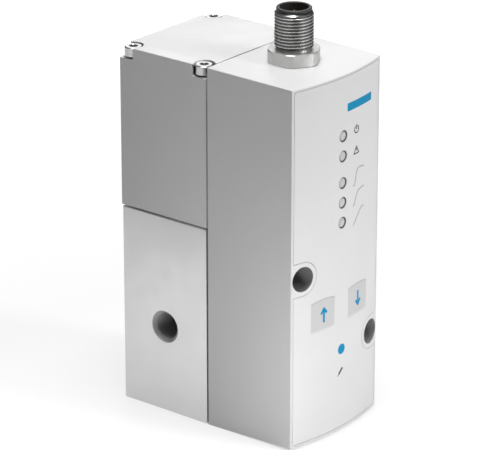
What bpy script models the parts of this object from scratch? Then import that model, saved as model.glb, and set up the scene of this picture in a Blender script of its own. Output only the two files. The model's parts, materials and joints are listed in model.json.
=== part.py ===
"""An electro-pneumatic pressure regulator, piece by piece, in metres with +Z up.

The keypad faces -Y, port 1 lies on the -X side, and the origin is the middle of the base.
Run it with blender --background --python part.py, or from the text editor.
"""

import math

import bmesh
import bpy
from mathutils import Matrix

# Clearances
FIT = 0.0003            # between pieces that seat on, or slide in, each other
WELD = 0.000001         # points closer than this are one point
PAST = 0.002            # how far a cutter runs past the face it opens

# Outer form
WIDTH = 0.0447          # across the front
HOUSING_DEPTH = 0.0322  # front edge to rear rim of the electronics housing
BLOCK_DEPTH = 0.0339    # valve block, front to rear
SEAM = 0.00045          # joint between the housing and the two blocks behind it
CAP_OVERHANG = 0.00026  # how far the cap stands out behind the valve block
FRONT_BULGE = 0.0028    # rise of the curved front over its width
DRAFT = 0.00058         # taper of the housing on each side, rim to front
CORNER = 0.0005         # rounding of the outer edges

# Valve block and main valve, on one vertical axis
BLOCK_HEIGHT = 0.0655
CAP_SEAM = 0.0005       # joint between block and cap
PORT_1_Z = 0.0287       # supply port, on the -X side
PORT_2_DROP = 0.0095    # outlet port on the +X side, below the top of the block
PORT_THREAD_R = 0.00486  # G1/8 major radius
PORT_THREAD_DEPTH = 0.008
PORT_CHAMFER = 0.00045
PASSAGE_R = 0.0036
CHAMBER_DEPTH = 0.0037
OUTLET_R = 0.008
OUTLET_FLOOR = 0.006    # floor of the outlet chamber below port 2's axis
SEAT_R = 0.0045
SEAT_WALL = 0.004
SEAT_LIP = 0.001
SEAT_LIP_WALL = 0.0011
INLET_R = 0.009
PLUG_R = 0.0105         # bore for the closing plug
PLUG_HEIGHT = 0.0197
PLUG_SETBACK = 0.0005   # the plug stands this far above the base
PLUG_FACE = 0.0085      # depth of the exhaust thread in the plug
SPANNER_HOLE_R = 0.0009
SPANNER_HOLE_DEPTH = 0.003
PLUG_RING_Z = 0.0155
RING_R = 0.0005         # wire radius of the plug's O-ring
POPPET_R = 0.007
POPPET_DISC = 0.0017
POPPET_STEM_R = 0.0032
POPPET_STEM_BORE = 0.0018
POPPET_STEM_END = 0.013
POPPET_BOSS_R = 0.0031
POPPET_SEAL_R = 0.0068
POPPET_SEAL_THICK = 0.0011
EXHAUST_GAP = 0.0010    # rod tip above the poppet while the outlet is vented
ROD_R = 0.0024
PLATE_R = 0.008
PLATE_THICK = 0.0015
STUD_R = 0.0015
NUT_FLATS_R = 0.0028
NUT_THICK = 0.0015
DIAPHRAGM_THICK = 0.0006
DIAPHRAGM_LIFT = 0.0015  # height of its middle over the joint of block and cap
BEAD_EDGE_GAP = 0.00035   # rim of the diaphragm inside the cap's wall
BEAD_WIDTH = 0.0018
BEAD_SHOULDER = 0.0006    # its bead outside the chamber
BEAD_GROOVE = 0.0006
PISTON_SPRING_R = 0.0059
PISTON_SPRING_WIRE = 0.00045
POPPET_SPRING_R = 0.0056
POPPET_SPRING_WIRE = 0.0004

# Fastening holes through the unit, front to rear
MOUNT_HOLE_INSET = 0.00515   # from each side
MOUNT_HOLE_DROP = 0.0094   # the -X hole, below the top of the block
MOUNT_HOLE_LOW_Z = 0.0277  # the +X hole
MOUNT_HOLE_R = 0.0030
COUNTERBORE_R = 0.0040
COUNTERBORE_DEPTH = 0.0076
MOUNT_BOSS_R = 0.0052

# Cap over the pilot stage
CAP_HEIGHT = 0.052      # over its joint with the block
CAP_WALL = 0.0022
CAP_LEDGE = 0.0008      # extra wall above the manifold, which it holds down
CAP_ROOF = 0.0030
COLUMN_R = 0.0040
CAP_SCREW_INSET = 0.0030
NOTCH_HALF = 0.0031
NOTCH_DEPTH = 0.00355
SCREW_R = 0.0015        # M3
SCREW_HEAD_R = 0.00275
SCREW_HEAD = 0.0030
SCREW_KEY_R = 0.00144   # corner radius of the 2.5 mm socket
SCREW_KEY_DEPTH = 0.0015
SCREW_GRIP = 0.0045     # thread held in the block
WINDOW_HALF = 0.007     # opening for the flat cable
WINDOW_HEIGHT = 0.006

# Pilot stage
MANIFOLD_HEIGHT = 0.013
PILOT_CHAMBER_HEIGHT = 0.006
CHANNEL_R = 0.0008
CHANNEL_INSET = 0.00785    # channels inside the cap screws
CHANNEL_SETBACK = 0.0054   # channels behind the front of the block
CROSS_CHANNEL_DROP = 0.0035
NOZZLE_R = 0.0006
COIL_SIDE_GAP = 0.00265     # coil to the cap's wall
COIL_MIDDLE_GAP = 0.0046    # between the two coils
PILOT_OFFSET = 0.0034      # pilot valves behind the main valve's axis
COIL_HEADROOM = 0.011      # free height over the coils
CORE_R = 0.0030
CORE_WALL = 0.0004
CORE_FLANGE_R = 0.0055
CORE_FLANGE = 0.0015
CORE_PROUD = 0.001
ARMATURE_LENGTH = 0.0118
ARMATURE_STROKE = 0.0006
ARMATURE_BORE_R = 0.0016
ARMATURE_BORE_DEPTH = 0.005
ARMATURE_SPRING_R = 0.0011
ARMATURE_SPRING_WIRE = 0.0002
SENSOR_R = 0.0021
SENSOR_HEIGHT = 0.0062
SENSOR_STEM_R = 0.0013
SENSOR_STEM = 0.003

# Electronics housing
HOUSING_WALL = 0.0022
FRONT_WALL = 0.0027
HOUSING_ROOF = 0.0028
GASKET_LIP = 0.0009     # outer lip of the rim, outside the gasket
GASKET_WIDTH = 0.0007
GASKET_THICK = 0.00045
HOUSING_SCREW_X = 0.0135
HOUSING_SCREW_LOW = 0.007
HOUSING_SCREW_DROP = 0.008
HOUSING_BOSS_R = 0.0040
HOUSING_HEAD_R = 0.00275
HOUSING_HEAD = 0.0018
HOUSING_GRIP = 0.0060   # screw in the blocks behind

# Keypad overlay, lamps and keys
OVERLAY_SIDE_MARGIN = 0.00102
OVERLAY_TOP_MARGIN = 0.0015
OVERLAY_BASE_MARGIN = 0.0016
OVERLAY_THICK = 0.0004
OVERLAY_NOTCH_R = 0.0056
LAMP_HOLE_R = 0.00185
LAMP_DROPS = (0.0205, 0.0270, 0.0356, 0.0420, 0.0485)
LAMP_NAMES = ("power_lens", "error_lens", "fast_lens", "medium_lens", "slow_lens")
LENS_FLANGE_R = 0.0025
LENS_FLANGE = 0.0008
KEY_X = 0.0086
KEY_Z = 0.0415
KEY_SIZE = 0.0096
EDIT_KEY_Z = 0.0275
EDIT_KEY_R = 0.0038
KEY_STEM_R = 0.0015
KEY_ENTRY = 0.0005      # how far a resting key reaches into its switch
SWITCH_HALF = 0.003
SWITCH_HEIGHT = 0.0033
SWITCH_WELL = 0.0014

# Boards
BOARD_SETBACK = 0.0080  # front edge of the housing to the front of the main board
BOARD_THICK = 0.0016
BOARD_SIDE_GAP = 0.00057    # board to the housing's wall
BOARD_BASE = 0.0040
BOARD_TOP_DROP = 0.009
CHIP_HALF = 0.0050
CHIP_THICK = 0.0014
CHIP_DROP = 0.058
LAMP_CHIP_HALF = 0.0008
HEADER_HALF = 0.0055
HEADER_THICK = 0.0030
HEADER_HEIGHT = 0.004
PIN_BOARD_HALF = 0.0085
CABLE_HALF = 0.0045
CABLE_THICK = 0.0003
CABLE_SAG = 0.0012

# Connector on the housing's roof
PLUG_X = 0.0005
PLUG_Y_SETBACK = 0.0168    # from the front edge
THREAD_R = 0.0060          # M12
THREAD_HEIGHT = 0.0119
HEX_HEIGHT = 0.0038
HEX_FLATS_R = 0.00765
HEX_CORNER_R = 0.00825     # the corners are turned down to a cylinder
HEX_CHAMFER = 0.0005
HEX_TURN = math.radians(12)
SHANK_R = 0.0054
SHANK_LENGTH = 0.0080
PLUG_RIM_CHAMFER = 0.0005
INSERT_LIP_R = 0.00545
INSERT_LIP = 0.0008
INSERT_SLEEVE_R = 0.00485
INSERT_RECESS_R = 0.00445
INSERT_FLOOR_DROP = 0.0085
INSERT_FOOT_R = 0.0042
PIN_CIRCLE_R = 0.00275
PIN_R = 0.0005
PIN_COUNT = 8              # one in the middle, the rest around it
PIN_TIP_DROP = 0.0018
LOCKNUT_FLATS_R = 0.0075
LOCKNUT_THICK = 0.003
SEAL_GROOVE_R = 0.0069
SEAL_GROOVE_DEPTH = 0.0014
SEAL_WIRE_R = 0.00045

# Facets
ROUND = 24
SMALL_ROUND = 12
FINE_ROUND = 48         # the connector's hexagon
PIN_SIDES = 8
HOOP_SIDES = 6          # around an O-ring's wire
ARC_STEPS = 16
SPRING_STEPS = 8        # points in each turn
SHARP = math.radians(35)

# Places that follow from the sizes
DEPTH = FRONT_BULGE + HOUSING_DEPTH + SEAM + BLOCK_DEPTH + CAP_OVERHANG
FRONT_APEX = -DEPTH / 2
FRONT_EDGE = FRONT_APEX + FRONT_BULGE
RIM = FRONT_EDGE + HOUSING_DEPTH
BLOCK_FRONT = RIM + SEAM
BLOCK_REAR = BLOCK_FRONT + BLOCK_DEPTH
CAP_REAR = BLOCK_REAR + CAP_OVERHANG
HALF_WIDTH = WIDTH / 2
HALF_FRONT = HALF_WIDTH - DRAFT
FRONT_RADIUS = (HALF_FRONT**2 + FRONT_BULGE**2) / (2 * FRONT_BULGE)
FRONT_CENTRE = FRONT_APEX + FRONT_RADIUS
OVERLAY_HALF = HALF_FRONT - OVERLAY_SIDE_MARGIN
BOARD_HALF = HALF_FRONT - HOUSING_WALL - BOARD_SIDE_GAP
RECESS = OVERLAY_THICK + FIT
VALVE_Y = (BLOCK_FRONT + BLOCK_REAR) / 2
CAP_BASE = BLOCK_HEIGHT + CAP_SEAM
HEIGHT = CAP_BASE + CAP_HEIGHT
BEAD_R = BLOCK_DEPTH / 2 - CAP_WALL - BEAD_EDGE_GAP
CHAMBER_R = BEAD_R - BEAD_WIDTH - BEAD_SHOULDER    # under and over the diaphragm
PORT_2_Z = BLOCK_HEIGHT - PORT_2_DROP
CHAMBER_FLOOR = BLOCK_HEIGHT - CHAMBER_DEPTH
SEAT_TOP = PORT_2_Z - OUTLET_FLOOR
SEAT_BASE = SEAT_TOP - SEAT_WALL
SEAT_EDGE = SEAT_BASE - SEAT_LIP
POPPET_TOP = SEAT_EDGE - FIT
ROD_TIP = POPPET_TOP + EXHAUST_GAP
DIAPHRAGM_BASE = CAP_BASE + DIAPHRAGM_LIFT - DIAPHRAGM_THICK
LOWER_PLATE_TOP = DIAPHRAGM_BASE - FIT
UPPER_PLATE_BASE = DIAPHRAGM_BASE + DIAPHRAGM_THICK + FIT
MANIFOLD_TOP = CAP_BASE + MANIFOLD_HEIGHT
PILOT_CEILING = CAP_BASE + PILOT_CHAMBER_HEIGHT
PILOT_Y = VALVE_Y + PILOT_OFFSET
PILOT_ROOM = HALF_WIDTH - CAP_WALL - CAP_LEDGE - COIL_SIDE_GAP - COIL_MIDDLE_GAP / 2
COIL_R = PILOT_ROOM / 2
PILOT_X = COIL_MIDDLE_GAP / 2 + COIL_R
CHANNEL_Y = BLOCK_FRONT + CHANNEL_SETBACK
CAP_CEILING = HEIGHT - CAP_ROOF
COIL_TOP = HEIGHT - COIL_HEADROOM - CAP_ROOF
NOTCH_FLOOR = HEIGHT - NOTCH_DEPTH
SCREW_TIP = BLOCK_HEIGHT - SCREW_GRIP
CAP_SCREW_X = HALF_WIDTH - CAP_SCREW_INSET
CHANNEL_X = CAP_SCREW_X - CHANNEL_INSET
CAP_SCREW_ROWS = (BLOCK_FRONT + CAP_SCREW_INSET, CAP_REAR - CAP_SCREW_INSET)
MOUNT_HOLE_X = HALF_WIDTH - MOUNT_HOLE_INSET
MOUNT_HOLES = ((-MOUNT_HOLE_X, BLOCK_HEIGHT - MOUNT_HOLE_DROP), (MOUNT_HOLE_X, MOUNT_HOLE_LOW_Z))
HOUSING_SCREW_TOP = HEIGHT - HOUSING_SCREW_DROP
HOUSING_CEILING = HEIGHT - HOUSING_ROOF
GASKET_STEP = GASKET_THICK + 2 * FIT - SEAM
BOARD_FRONT = FRONT_EDGE + BOARD_SETBACK
BOARD_REAR = BOARD_FRONT + BOARD_THICK
BOARD_TOP = HEIGHT - BOARD_TOP_DROP
SWITCH_FRONT = BOARD_FRONT - FIT - SWITCH_HEIGHT
PLUG_Y = FRONT_EDGE + PLUG_Y_SETBACK
HEX_TOP = HEIGHT + HEX_HEIGHT
THREAD_TOP = HEX_TOP + THREAD_HEIGHT
SHANK_END = HEIGHT - SHANK_LENGTH
INSERT_FLOOR = THREAD_TOP - INSERT_FLOOR_DROP
PIN_BOARD_TOP = SHANK_END - 4 * FIT - BOARD_THICK
CABLE_Z = COIL_TOP - HEADER_HEIGHT

# Turns that lay an upright piece along another axis
UPRIGHT = (0, 0, 0)
TO_RIGHT = (0, math.pi / 2, 0)      # its +Z points along +X
TO_LEFT = (0, -math.pi / 2, 0)      # its +Z points along -X
TO_REAR = (-math.pi / 2, 0, 0)      # its +Z points along +Y
FACING = (math.pi / 2, 0, 0)        # a drawing in X and Y stands in X and Z

# Finishes: colour, roughness, metallic
PALE_PLASTIC = ((0.56, 0.57, 0.58), 0.42, 0.0)
FILM = ((0.74, 0.75, 0.76), 0.35, 0.0)
LENS = ((0.50, 0.51, 0.52), 0.25, 0.0)
SATIN_ALUMINIUM = ((0.66, 0.67, 0.68), 0.36, 1.0)
NICKEL = ((0.60, 0.59, 0.57), 0.24, 1.0)
STEEL = ((0.52, 0.53, 0.55), 0.30, 1.0)
BRASS = ((0.72, 0.55, 0.26), 0.32, 1.0)
GOLD = ((0.90, 0.68, 0.28), 0.22, 1.0)
BLACK_PLASTIC = ((0.02, 0.02, 0.022), 0.45, 0.0)
RUBBER = ((0.018, 0.018, 0.018), 0.75, 0.0)
BOARD_GREEN = ((0.03, 0.16, 0.07), 0.40, 0.0)
CABLE_WHITE = ((0.60, 0.60, 0.58), 0.50, 0.0)


def make_collection(name):
    group = bpy.data.collections.new(name)
    bpy.context.scene.collection.children.link(group)
    return group


for old in list(bpy.data.objects):
    bpy.data.objects.remove(old, do_unlink=True)
PARTS = make_collection("electro_pneumatic_regulator")
CUTTERS = make_collection("cutters")


def make_material(name, finish):
    colour, roughness, metallic = finish
    made = bpy.data.materials.new(name)
    made.use_nodes = True
    shader = made.node_tree.nodes["Principled BSDF"]
    shader.inputs["Base Color"].default_value = (*colour, 1.0)
    shader.inputs["Roughness"].default_value = roughness
    shader.inputs["Metallic"].default_value = metallic
    return made


def place(name, data, finish, at=(0, 0, 0), turn=UPRIGHT):
    """Put a shape in the model, or with the cutters when it has no finish."""
    item = bpy.data.objects.new(name, data)
    item.location = at
    item.rotation_euler = turn
    if finish is None:
        item.hide_render = True
        item.display_type = "WIRE"
        CUTTERS.objects.link(item)
    else:
        data.materials.append(make_material(name, finish))
        PARTS.objects.link(item)
    return item


def as_mesh(name, shape):
    mesh = bpy.data.meshes.new(name)
    shape.to_mesh(mesh)
    shape.free()
    mesh.shade_smooth()
    mesh.set_sharp_from_angle(angle=SHARP)
    return mesh


def box(name, low, high, finish=None):
    """A box between two corners, with its origin in its middle."""
    middle = [(a + b) / 2 for a, b in zip(low, high)]
    size = [b - a for a, b in zip(low, high)]
    shape = bmesh.new()
    bmesh.ops.create_cube(shape, size=1.0, matrix=Matrix.Diagonal((*size, 1.0)))
    return place(name, as_mesh(name, shape), finish, middle)


def cylinder(name, radius, length, at, turn=UPRIGHT, finish=None, sides=ROUND, spin=0.0):
    """A cylinder that starts at a point and runs along its turned Z axis."""
    shape = bmesh.new()
    stand = Matrix.Translation((0, 0, length / 2)) @ Matrix.Rotation(spin, 4, "Z")
    bmesh.ops.create_cone(
        shape, cap_ends=True, segments=sides, radius1=radius, radius2=radius, depth=length, matrix=stand
    )
    return place(name, as_mesh(name, shape), finish, at, turn)


def turned(name, profile, at, turn=UPRIGHT, finish=None, steps=ROUND, ring=False):
    """Turn a profile of (radius, height) points that runs down its outer side."""
    shape = bmesh.new()
    corners = [shape.verts.new((radius, 0, height)) for radius, height in profile]
    ends = corners[1:] + corners[:1] if ring else corners[1:]
    for first, second in zip(corners, ends):
        shape.edges.new((first, second))
    item = place(name, as_mesh(name, shape), finish, at, turn)
    spin = item.modifiers.new("turning", "SCREW")
    spin.steps = steps
    spin.render_steps = steps
    spin.use_merge_vertices = True
    spin.merge_threshold = WELD
    spin.use_smooth_shade = True
    return item


def hoop(name, radius, wire_r, z, at, turn=UPRIGHT, finish=RUBBER, steps=ROUND):
    """An O-ring, as a small circle turned about the axis."""
    angles = [-math.tau * step / HOOP_SIDES for step in range(HOOP_SIDES)]
    profile = [(radius + wire_r * math.cos(a), z + wire_r * math.sin(a)) for a in angles]
    return turned(name, profile, at, turn, finish, steps, ring=True)


def prism(name, outlines, thickness, at=(0, 0, 0), turn=UPRIGHT, finish=None):
    """Extrude a flat drawing, whose later outlines are holes, half its thickness each way."""
    drawing = bpy.data.curves.new(name, "CURVE")
    drawing.dimensions = "2D"
    drawing.fill_mode = "BOTH"
    drawing.extrude = thickness / 2
    for outline in outlines:
        spline = drawing.splines.new("POLY")
        spline.points.add(len(outline) - 1)
        spline.use_cyclic_u = True
        for point, (u, v) in zip(spline.points, outline):
            point.co = (u, v, 0, 1)
    guide = bpy.data.objects.new(name + "_drawing", drawing)
    bpy.context.scene.collection.objects.link(guide)
    graph = bpy.context.evaluated_depsgraph_get()
    flat = bpy.data.meshes.new_from_object(guide.evaluated_get(graph))
    shape = bmesh.new()
    shape.from_mesh(flat)
    bpy.data.objects.remove(guide)
    bpy.data.meshes.remove(flat)
    bmesh.ops.remove_doubles(shape, verts=shape.verts, dist=WELD)
    bmesh.ops.recalc_face_normals(shape, faces=shape.faces)
    return place(name, as_mesh(name, shape), finish, at, turn)


def coil_spring(name, radius, wire_r, low, high, turns, at):
    """A round wire wound from one height to another about the upright axis."""
    drawing = bpy.data.curves.new(name, "CURVE")
    drawing.dimensions = "3D"
    drawing.bevel_depth = wire_r
    drawing.bevel_resolution = 2
    drawing.use_fill_caps = True
    spline = drawing.splines.new("POLY")
    count = turns * SPRING_STEPS + 1
    spline.points.add(count - 1)
    bottom = low + wire_r
    rise = high - low - 2 * wire_r
    for step, point in enumerate(spline.points):
        angle = math.tau * step / SPRING_STEPS
        height = bottom + rise * step / (count - 1)
        point.co = (radius * math.cos(angle), radius * math.sin(angle), height, 1)
    return place(name, drawing, STEEL, at)


def combine(item, tool, operation="DIFFERENCE"):
    step = item.modifiers.new(tool.name, "BOOLEAN")
    step.operation = operation
    step.object = tool
    return item


def round_edges(item, width=CORNER, segments=2):
    bevel = item.modifiers.new("rounding", "BEVEL")
    bevel.width = width
    bevel.segments = segments
    bevel.limit_method = "ANGLE"
    bevel.angle_limit = SHARP


def arc(centre_u, centre_v, radius, start, end, steps):
    """Points on an arc of a drawing, both ends included, with angles in degrees."""
    angles = [math.radians(start + (end - start) * step / steps) for step in range(steps + 1)]
    return [(centre_u + radius * math.cos(a), centre_v + radius * math.sin(a)) for a in angles]


def front_y(x, depth=0.0):
    """The curved front's place at x, or that of a parallel surface behind it."""
    return FRONT_CENTRE - math.sqrt((FRONT_RADIUS - depth) ** 2 - x * x)


def front_line(half, depth):
    """The curved front in plan, from the left to the right, at a depth behind it."""
    columns = [-half + 2 * half * step / ARC_STEPS for step in range(ARC_STEPS + 1)]
    return [(x, front_y(x, depth)) for x in columns]


def front_block(name, half, depth, rear, low, high, rear_half=None, finish=None):
    """A block with the curved front, set back by a depth and as wide as asked at its rear."""
    wide = half if rear_half is None else rear_half
    plan = front_line(half, depth) + [(wide, rear), (-wide, rear)]
    return prism(name, [plan], high - low, (0, 0, (low + high) / 2), finish=finish)


def taper(item):
    """Lower the top and raise the bottom of the housing towards its front."""
    for point in item.data.vertices:
        share = (RIM - point.co.y) / HOUSING_DEPTH
        point.co.z -= math.copysign(DRAFT * share, point.co.z)


def through_mounts(item, label, radius, start, end):
    """Drill both fastening holes through a piece, between two planes."""
    for number, (x, z) in enumerate(MOUNT_HOLES):
        tool = cylinder(f"{label}_mount_hole_{number}", radius, end - start, (x, start, z), TO_REAR)
        combine(item, tool)


def make_valve_block():
    block = box(
        "valve_block", (-HALF_WIDTH, BLOCK_FRONT, 0), (HALF_WIDTH, BLOCK_REAR, BLOCK_HEIGHT), SATIN_ALUMINIUM
    )
    round_edges(block)
    lip_r = SEAT_R + SEAT_LIP_WALL
    stack = [
        (0, BLOCK_HEIGHT + PAST),
        (BEAD_R + FIT, BLOCK_HEIGHT + PAST),
        (BEAD_R + FIT, BLOCK_HEIGHT - BEAD_GROOVE),
        (CHAMBER_R, BLOCK_HEIGHT - BEAD_GROOVE),
        (CHAMBER_R, CHAMBER_FLOOR),
        (OUTLET_R, CHAMBER_FLOOR),
        (OUTLET_R, SEAT_TOP),
        (SEAT_R, SEAT_TOP),
        (SEAT_R, SEAT_EDGE),
        (lip_r, SEAT_EDGE),
        (lip_r, SEAT_BASE),
        (INLET_R, SEAT_BASE),
        (INLET_R, PLUG_HEIGHT + FIT),
        (PLUG_R, PLUG_HEIGHT + FIT),
        (PLUG_R, -PAST),
        (0, -PAST),
    ]
    combine(block, turned("main_bore", stack, (0, VALVE_Y, 0)))
    ports = ((-1, PORT_1_Z, INLET_R, TO_LEFT), (1, PORT_2_Z, OUTLET_R, TO_RIGHT))
    for side, z, chamber_r, turn in ports:
        length = HALF_WIDTH - chamber_r + PORT_CHAMFER
        combine(block, port_cutter(f"port_{side}", length, (side * HALF_WIDTH, VALVE_Y, z), turn))
        channel = (side * CHANNEL_X, CHANNEL_Y, z)
        rise = BLOCK_HEIGHT + PAST - z
        combine(block, cylinder(f"rising_channel_{side}", CHANNEL_R, rise, channel, sides=SMALL_ROUND))
        reach = VALVE_Y - CHANNEL_Y
        combine(
            block, cylinder(f"cross_channel_{side}", CHANNEL_R, reach, channel, TO_REAR, sides=SMALL_ROUND)
        )
        start = (side * HOUSING_SCREW_X, BLOCK_FRONT - PAST, HOUSING_SCREW_LOW)
        depth = HOUSING_GRIP + FIT + PAST
        tapped = cylinder(f"front_thread_{side}", SCREW_R + FIT, depth, start, TO_REAR, sides=SMALL_ROUND)
        combine(block, tapped)
        for row, y in enumerate(CAP_SCREW_ROWS):
            start = (side * CAP_SCREW_X, y, SCREW_TIP - FIT)
            depth = SCREW_GRIP + FIT + PAST
            tapped = cylinder(f"top_thread_{side}_{row}", SCREW_R + FIT, depth, start, sides=SMALL_ROUND)
            combine(block, tapped)
    through_mounts(block, "block", MOUNT_HOLE_R, BLOCK_FRONT - PAST, BLOCK_REAR + PAST)


def port_cutter(name, length, mouth, turn):
    """A chamfered thread bore that narrows to a passage, sunk from a mouth on a face."""
    profile = [
        (0, PAST),
        (PORT_THREAD_R + PORT_CHAMFER, PAST),
        (PORT_THREAD_R + PORT_CHAMFER, 0),
        (PORT_THREAD_R, -PORT_CHAMFER),
        (PORT_THREAD_R, -PORT_THREAD_DEPTH),
        (PASSAGE_R, -PORT_THREAD_DEPTH),
        (PASSAGE_R, -length),
        (0, -length),
    ]
    return turned(name, profile, mouth, turn)


def make_closing_plug():
    groove_r = PLUG_R - 3 * FIT - 2 * RING_R + FIT
    groove_half = RING_R + FIT
    outer_r = PLUG_R - FIT
    stem_r = POPPET_STEM_R + FIT
    profile = [
        (outer_r, PLUG_HEIGHT),
        (outer_r, PLUG_RING_Z + groove_half),
        (groove_r, PLUG_RING_Z + groove_half),
        (groove_r, PLUG_RING_Z - groove_half),
        (outer_r, PLUG_RING_Z - groove_half),
        (outer_r, PLUG_SETBACK),
        (PORT_THREAD_R + PORT_CHAMFER, PLUG_SETBACK),
        (PORT_THREAD_R, PLUG_SETBACK + PORT_CHAMFER),
        (PORT_THREAD_R, PLUG_SETBACK + PLUG_FACE),
        (stem_r, PLUG_SETBACK + PLUG_FACE),
        (stem_r, PLUG_HEIGHT),
    ]
    axis = (0, VALVE_Y, 0)
    plug = turned("closing_plug", profile, axis, finish=SATIN_ALUMINIUM, ring=True)
    hole_r = (outer_r + PORT_THREAD_R + PORT_CHAMFER) / 2
    for side in (-1, 1):
        start = (side * hole_r, VALVE_Y, PLUG_SETBACK - PAST)
        depth = SPANNER_HOLE_DEPTH + PAST
        hole = cylinder(f"spanner_hole_{side}", SPANNER_HOLE_R, depth, start, sides=SMALL_ROUND)
        combine(plug, hole)
    hoop("plug_o_ring", groove_r + FIT + RING_R, RING_R, PLUG_RING_Z, axis)


def make_poppet():
    """The hollow poppet, its rubber face and its spring, which stands on the closing plug."""
    axis = (0, VALVE_Y, 0)
    disc_top = POPPET_TOP - POPPET_SEAL_THICK - FIT
    disc_base = disc_top - POPPET_DISC
    profile = [
        (POPPET_BOSS_R, POPPET_TOP),
        (POPPET_BOSS_R, disc_top),
        (POPPET_R, disc_top),
        (POPPET_R, disc_base),
        (POPPET_STEM_R, disc_base),
        (POPPET_STEM_R, POPPET_STEM_END),
        (POPPET_STEM_BORE, POPPET_STEM_END),
        (POPPET_STEM_BORE, POPPET_TOP),
    ]
    turned("valve_poppet", profile, axis, finish=BRASS, steps=SMALL_ROUND, ring=True)
    inner = POPPET_BOSS_R + FIT
    seal = [
        (POPPET_SEAL_R, POPPET_TOP),
        (POPPET_SEAL_R, disc_top + FIT),
        (inner, disc_top + FIT),
        (inner, POPPET_TOP),
    ]
    turned("poppet_seal", seal, axis, finish=RUBBER, steps=SMALL_ROUND, ring=True)
    low = PLUG_HEIGHT + FIT
    coil_spring("poppet_spring", POPPET_SPRING_R, POPPET_SPRING_WIRE, low, disc_base - FIT, 5, axis)


def make_piston():
    """Diaphragm, its two plates, their nut, and the spring that lifts them."""
    axis = (0, VALVE_Y, 0)
    plate_base = LOWER_PLATE_TOP - PLATE_THICK
    nut_base = UPPER_PLATE_BASE + PLATE_THICK + FIT
    rod = [
        (0, nut_base + NUT_THICK + FIT),
        (STUD_R, nut_base + NUT_THICK + FIT),
        (STUD_R, LOWER_PLATE_TOP),
        (PLATE_R, LOWER_PLATE_TOP),
        (PLATE_R, plate_base),
        (ROD_R, plate_base),
        (ROD_R, ROD_TIP),
        (0, ROD_TIP),
    ]
    turned("piston_rod", rod, axis, finish=BRASS, steps=SMALL_ROUND)
    hole_r = STUD_R + FIT
    plate = [
        (PLATE_R, UPPER_PLATE_BASE + PLATE_THICK),
        (PLATE_R, UPPER_PLATE_BASE),
        (hole_r, UPPER_PLATE_BASE),
        (hole_r, UPPER_PLATE_BASE + PLATE_THICK),
    ]
    turned("upper_plate", plate, axis, finish=BRASS, steps=SMALL_ROUND, ring=True)
    corner_r = NUT_FLATS_R / math.cos(math.pi / 6)
    nut = cylinder("plate_nut", corner_r, NUT_THICK, (0, VALVE_Y, nut_base), finish=STEEL, sides=6)
    start = (0, VALVE_Y, nut_base - PAST)
    combine(nut, cylinder("plate_nut_bore", hole_r, NUT_THICK + 2 * PAST, start, sides=SMALL_ROUND))
    bead_in = BEAD_R - BEAD_WIDTH
    bead_top = CAP_BASE + BEAD_GROOVE - FIT
    bead_base = BLOCK_HEIGHT - BEAD_GROOVE + FIT
    crown = DIAPHRAGM_BASE + DIAPHRAGM_THICK
    slope_r = PLATE_R + FIT
    skin = [
        (BEAD_R, bead_top),
        (BEAD_R, bead_base),
        (bead_in, bead_base),
        (slope_r, DIAPHRAGM_BASE),
        (hole_r, DIAPHRAGM_BASE),
        (hole_r, crown),
        (slope_r, crown),
        (bead_in, bead_top),
    ]
    turned("diaphragm", skin, axis, finish=RUBBER, steps=ROUND, ring=True)
    low = SEAT_TOP + FIT
    coil_spring("piston_spring", PISTON_SPRING_R, PISTON_SPRING_WIRE, low, plate_base - FIT, 4, axis)


def column_points():
    """The four cap screws' places in plan."""
    return [(side * CAP_SCREW_X, y) for side in (-1, 1) for y in CAP_SCREW_ROWS]


def make_cap():
    cap = box("pilot_cap", (-HALF_WIDTH, BLOCK_FRONT, CAP_BASE), (HALF_WIDTH, CAP_REAR, HEIGHT), PALE_PLASTIC)
    round_edges(cap)
    inner = HALF_WIDTH - CAP_WALL
    upper = inner - CAP_LEDGE
    front = BLOCK_FRONT + CAP_WALL
    rear = CAP_REAR - CAP_WALL
    ledge_z = MANIFOLD_TOP + FIT
    hollow = box("cap_hollow", (-inner, front, CAP_BASE - PAST), (inner, rear, ledge_z))
    attic_low = (-upper, front + CAP_LEDGE, ledge_z - PAST)
    combine(hollow, box("cap_attic", attic_low, (upper, rear - CAP_LEDGE, CAP_CEILING)), "UNION")
    height = HEIGHT - CAP_BASE + 2 * PAST
    for number, (x, y) in enumerate(column_points()):
        column = cylinder(f"column_{number}", COLUMN_R, height, (x, y, CAP_BASE - 2 * PAST))
        combine(hollow, column)
    reach = CAP_WALL + HOUSING_GRIP
    for side in (-1, 1):
        start = (side * HOUSING_SCREW_X, BLOCK_FRONT - PAST, HOUSING_SCREW_TOP)
        combine(hollow, cylinder(f"cap_boss_{side}", HOUSING_BOSS_R, reach + PAST, start, TO_REAR))
    combine(cap, hollow)
    for number, (x, y) in enumerate(column_points()):
        start = (x, y, CAP_BASE - PAST)
        hole = cylinder(f"cap_screw_hole_{number}", SCREW_R + FIT, height, start, sides=SMALL_ROUND)
        combine(cap, hole)
        combine(cap, corner_notch(f"corner_notch_{number}", x, y))
    for side in (-1, 1):
        start = (side * HOUSING_SCREW_X, BLOCK_FRONT - PAST, HOUSING_SCREW_TOP)
        depth = HOUSING_GRIP + FIT + PAST
        tapped = cylinder(f"cap_thread_{side}", SCREW_R + FIT, depth, start, TO_REAR, sides=SMALL_ROUND)
        combine(cap, tapped)
    low = (-WINDOW_HALF, BLOCK_FRONT - PAST, CABLE_Z - WINDOW_HEIGHT / 2)
    high = (WINDOW_HALF, front + CAP_LEDGE + PAST, CABLE_Z + WINDOW_HEIGHT / 2)
    combine(cap, box("cable_window", low, high))


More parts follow.
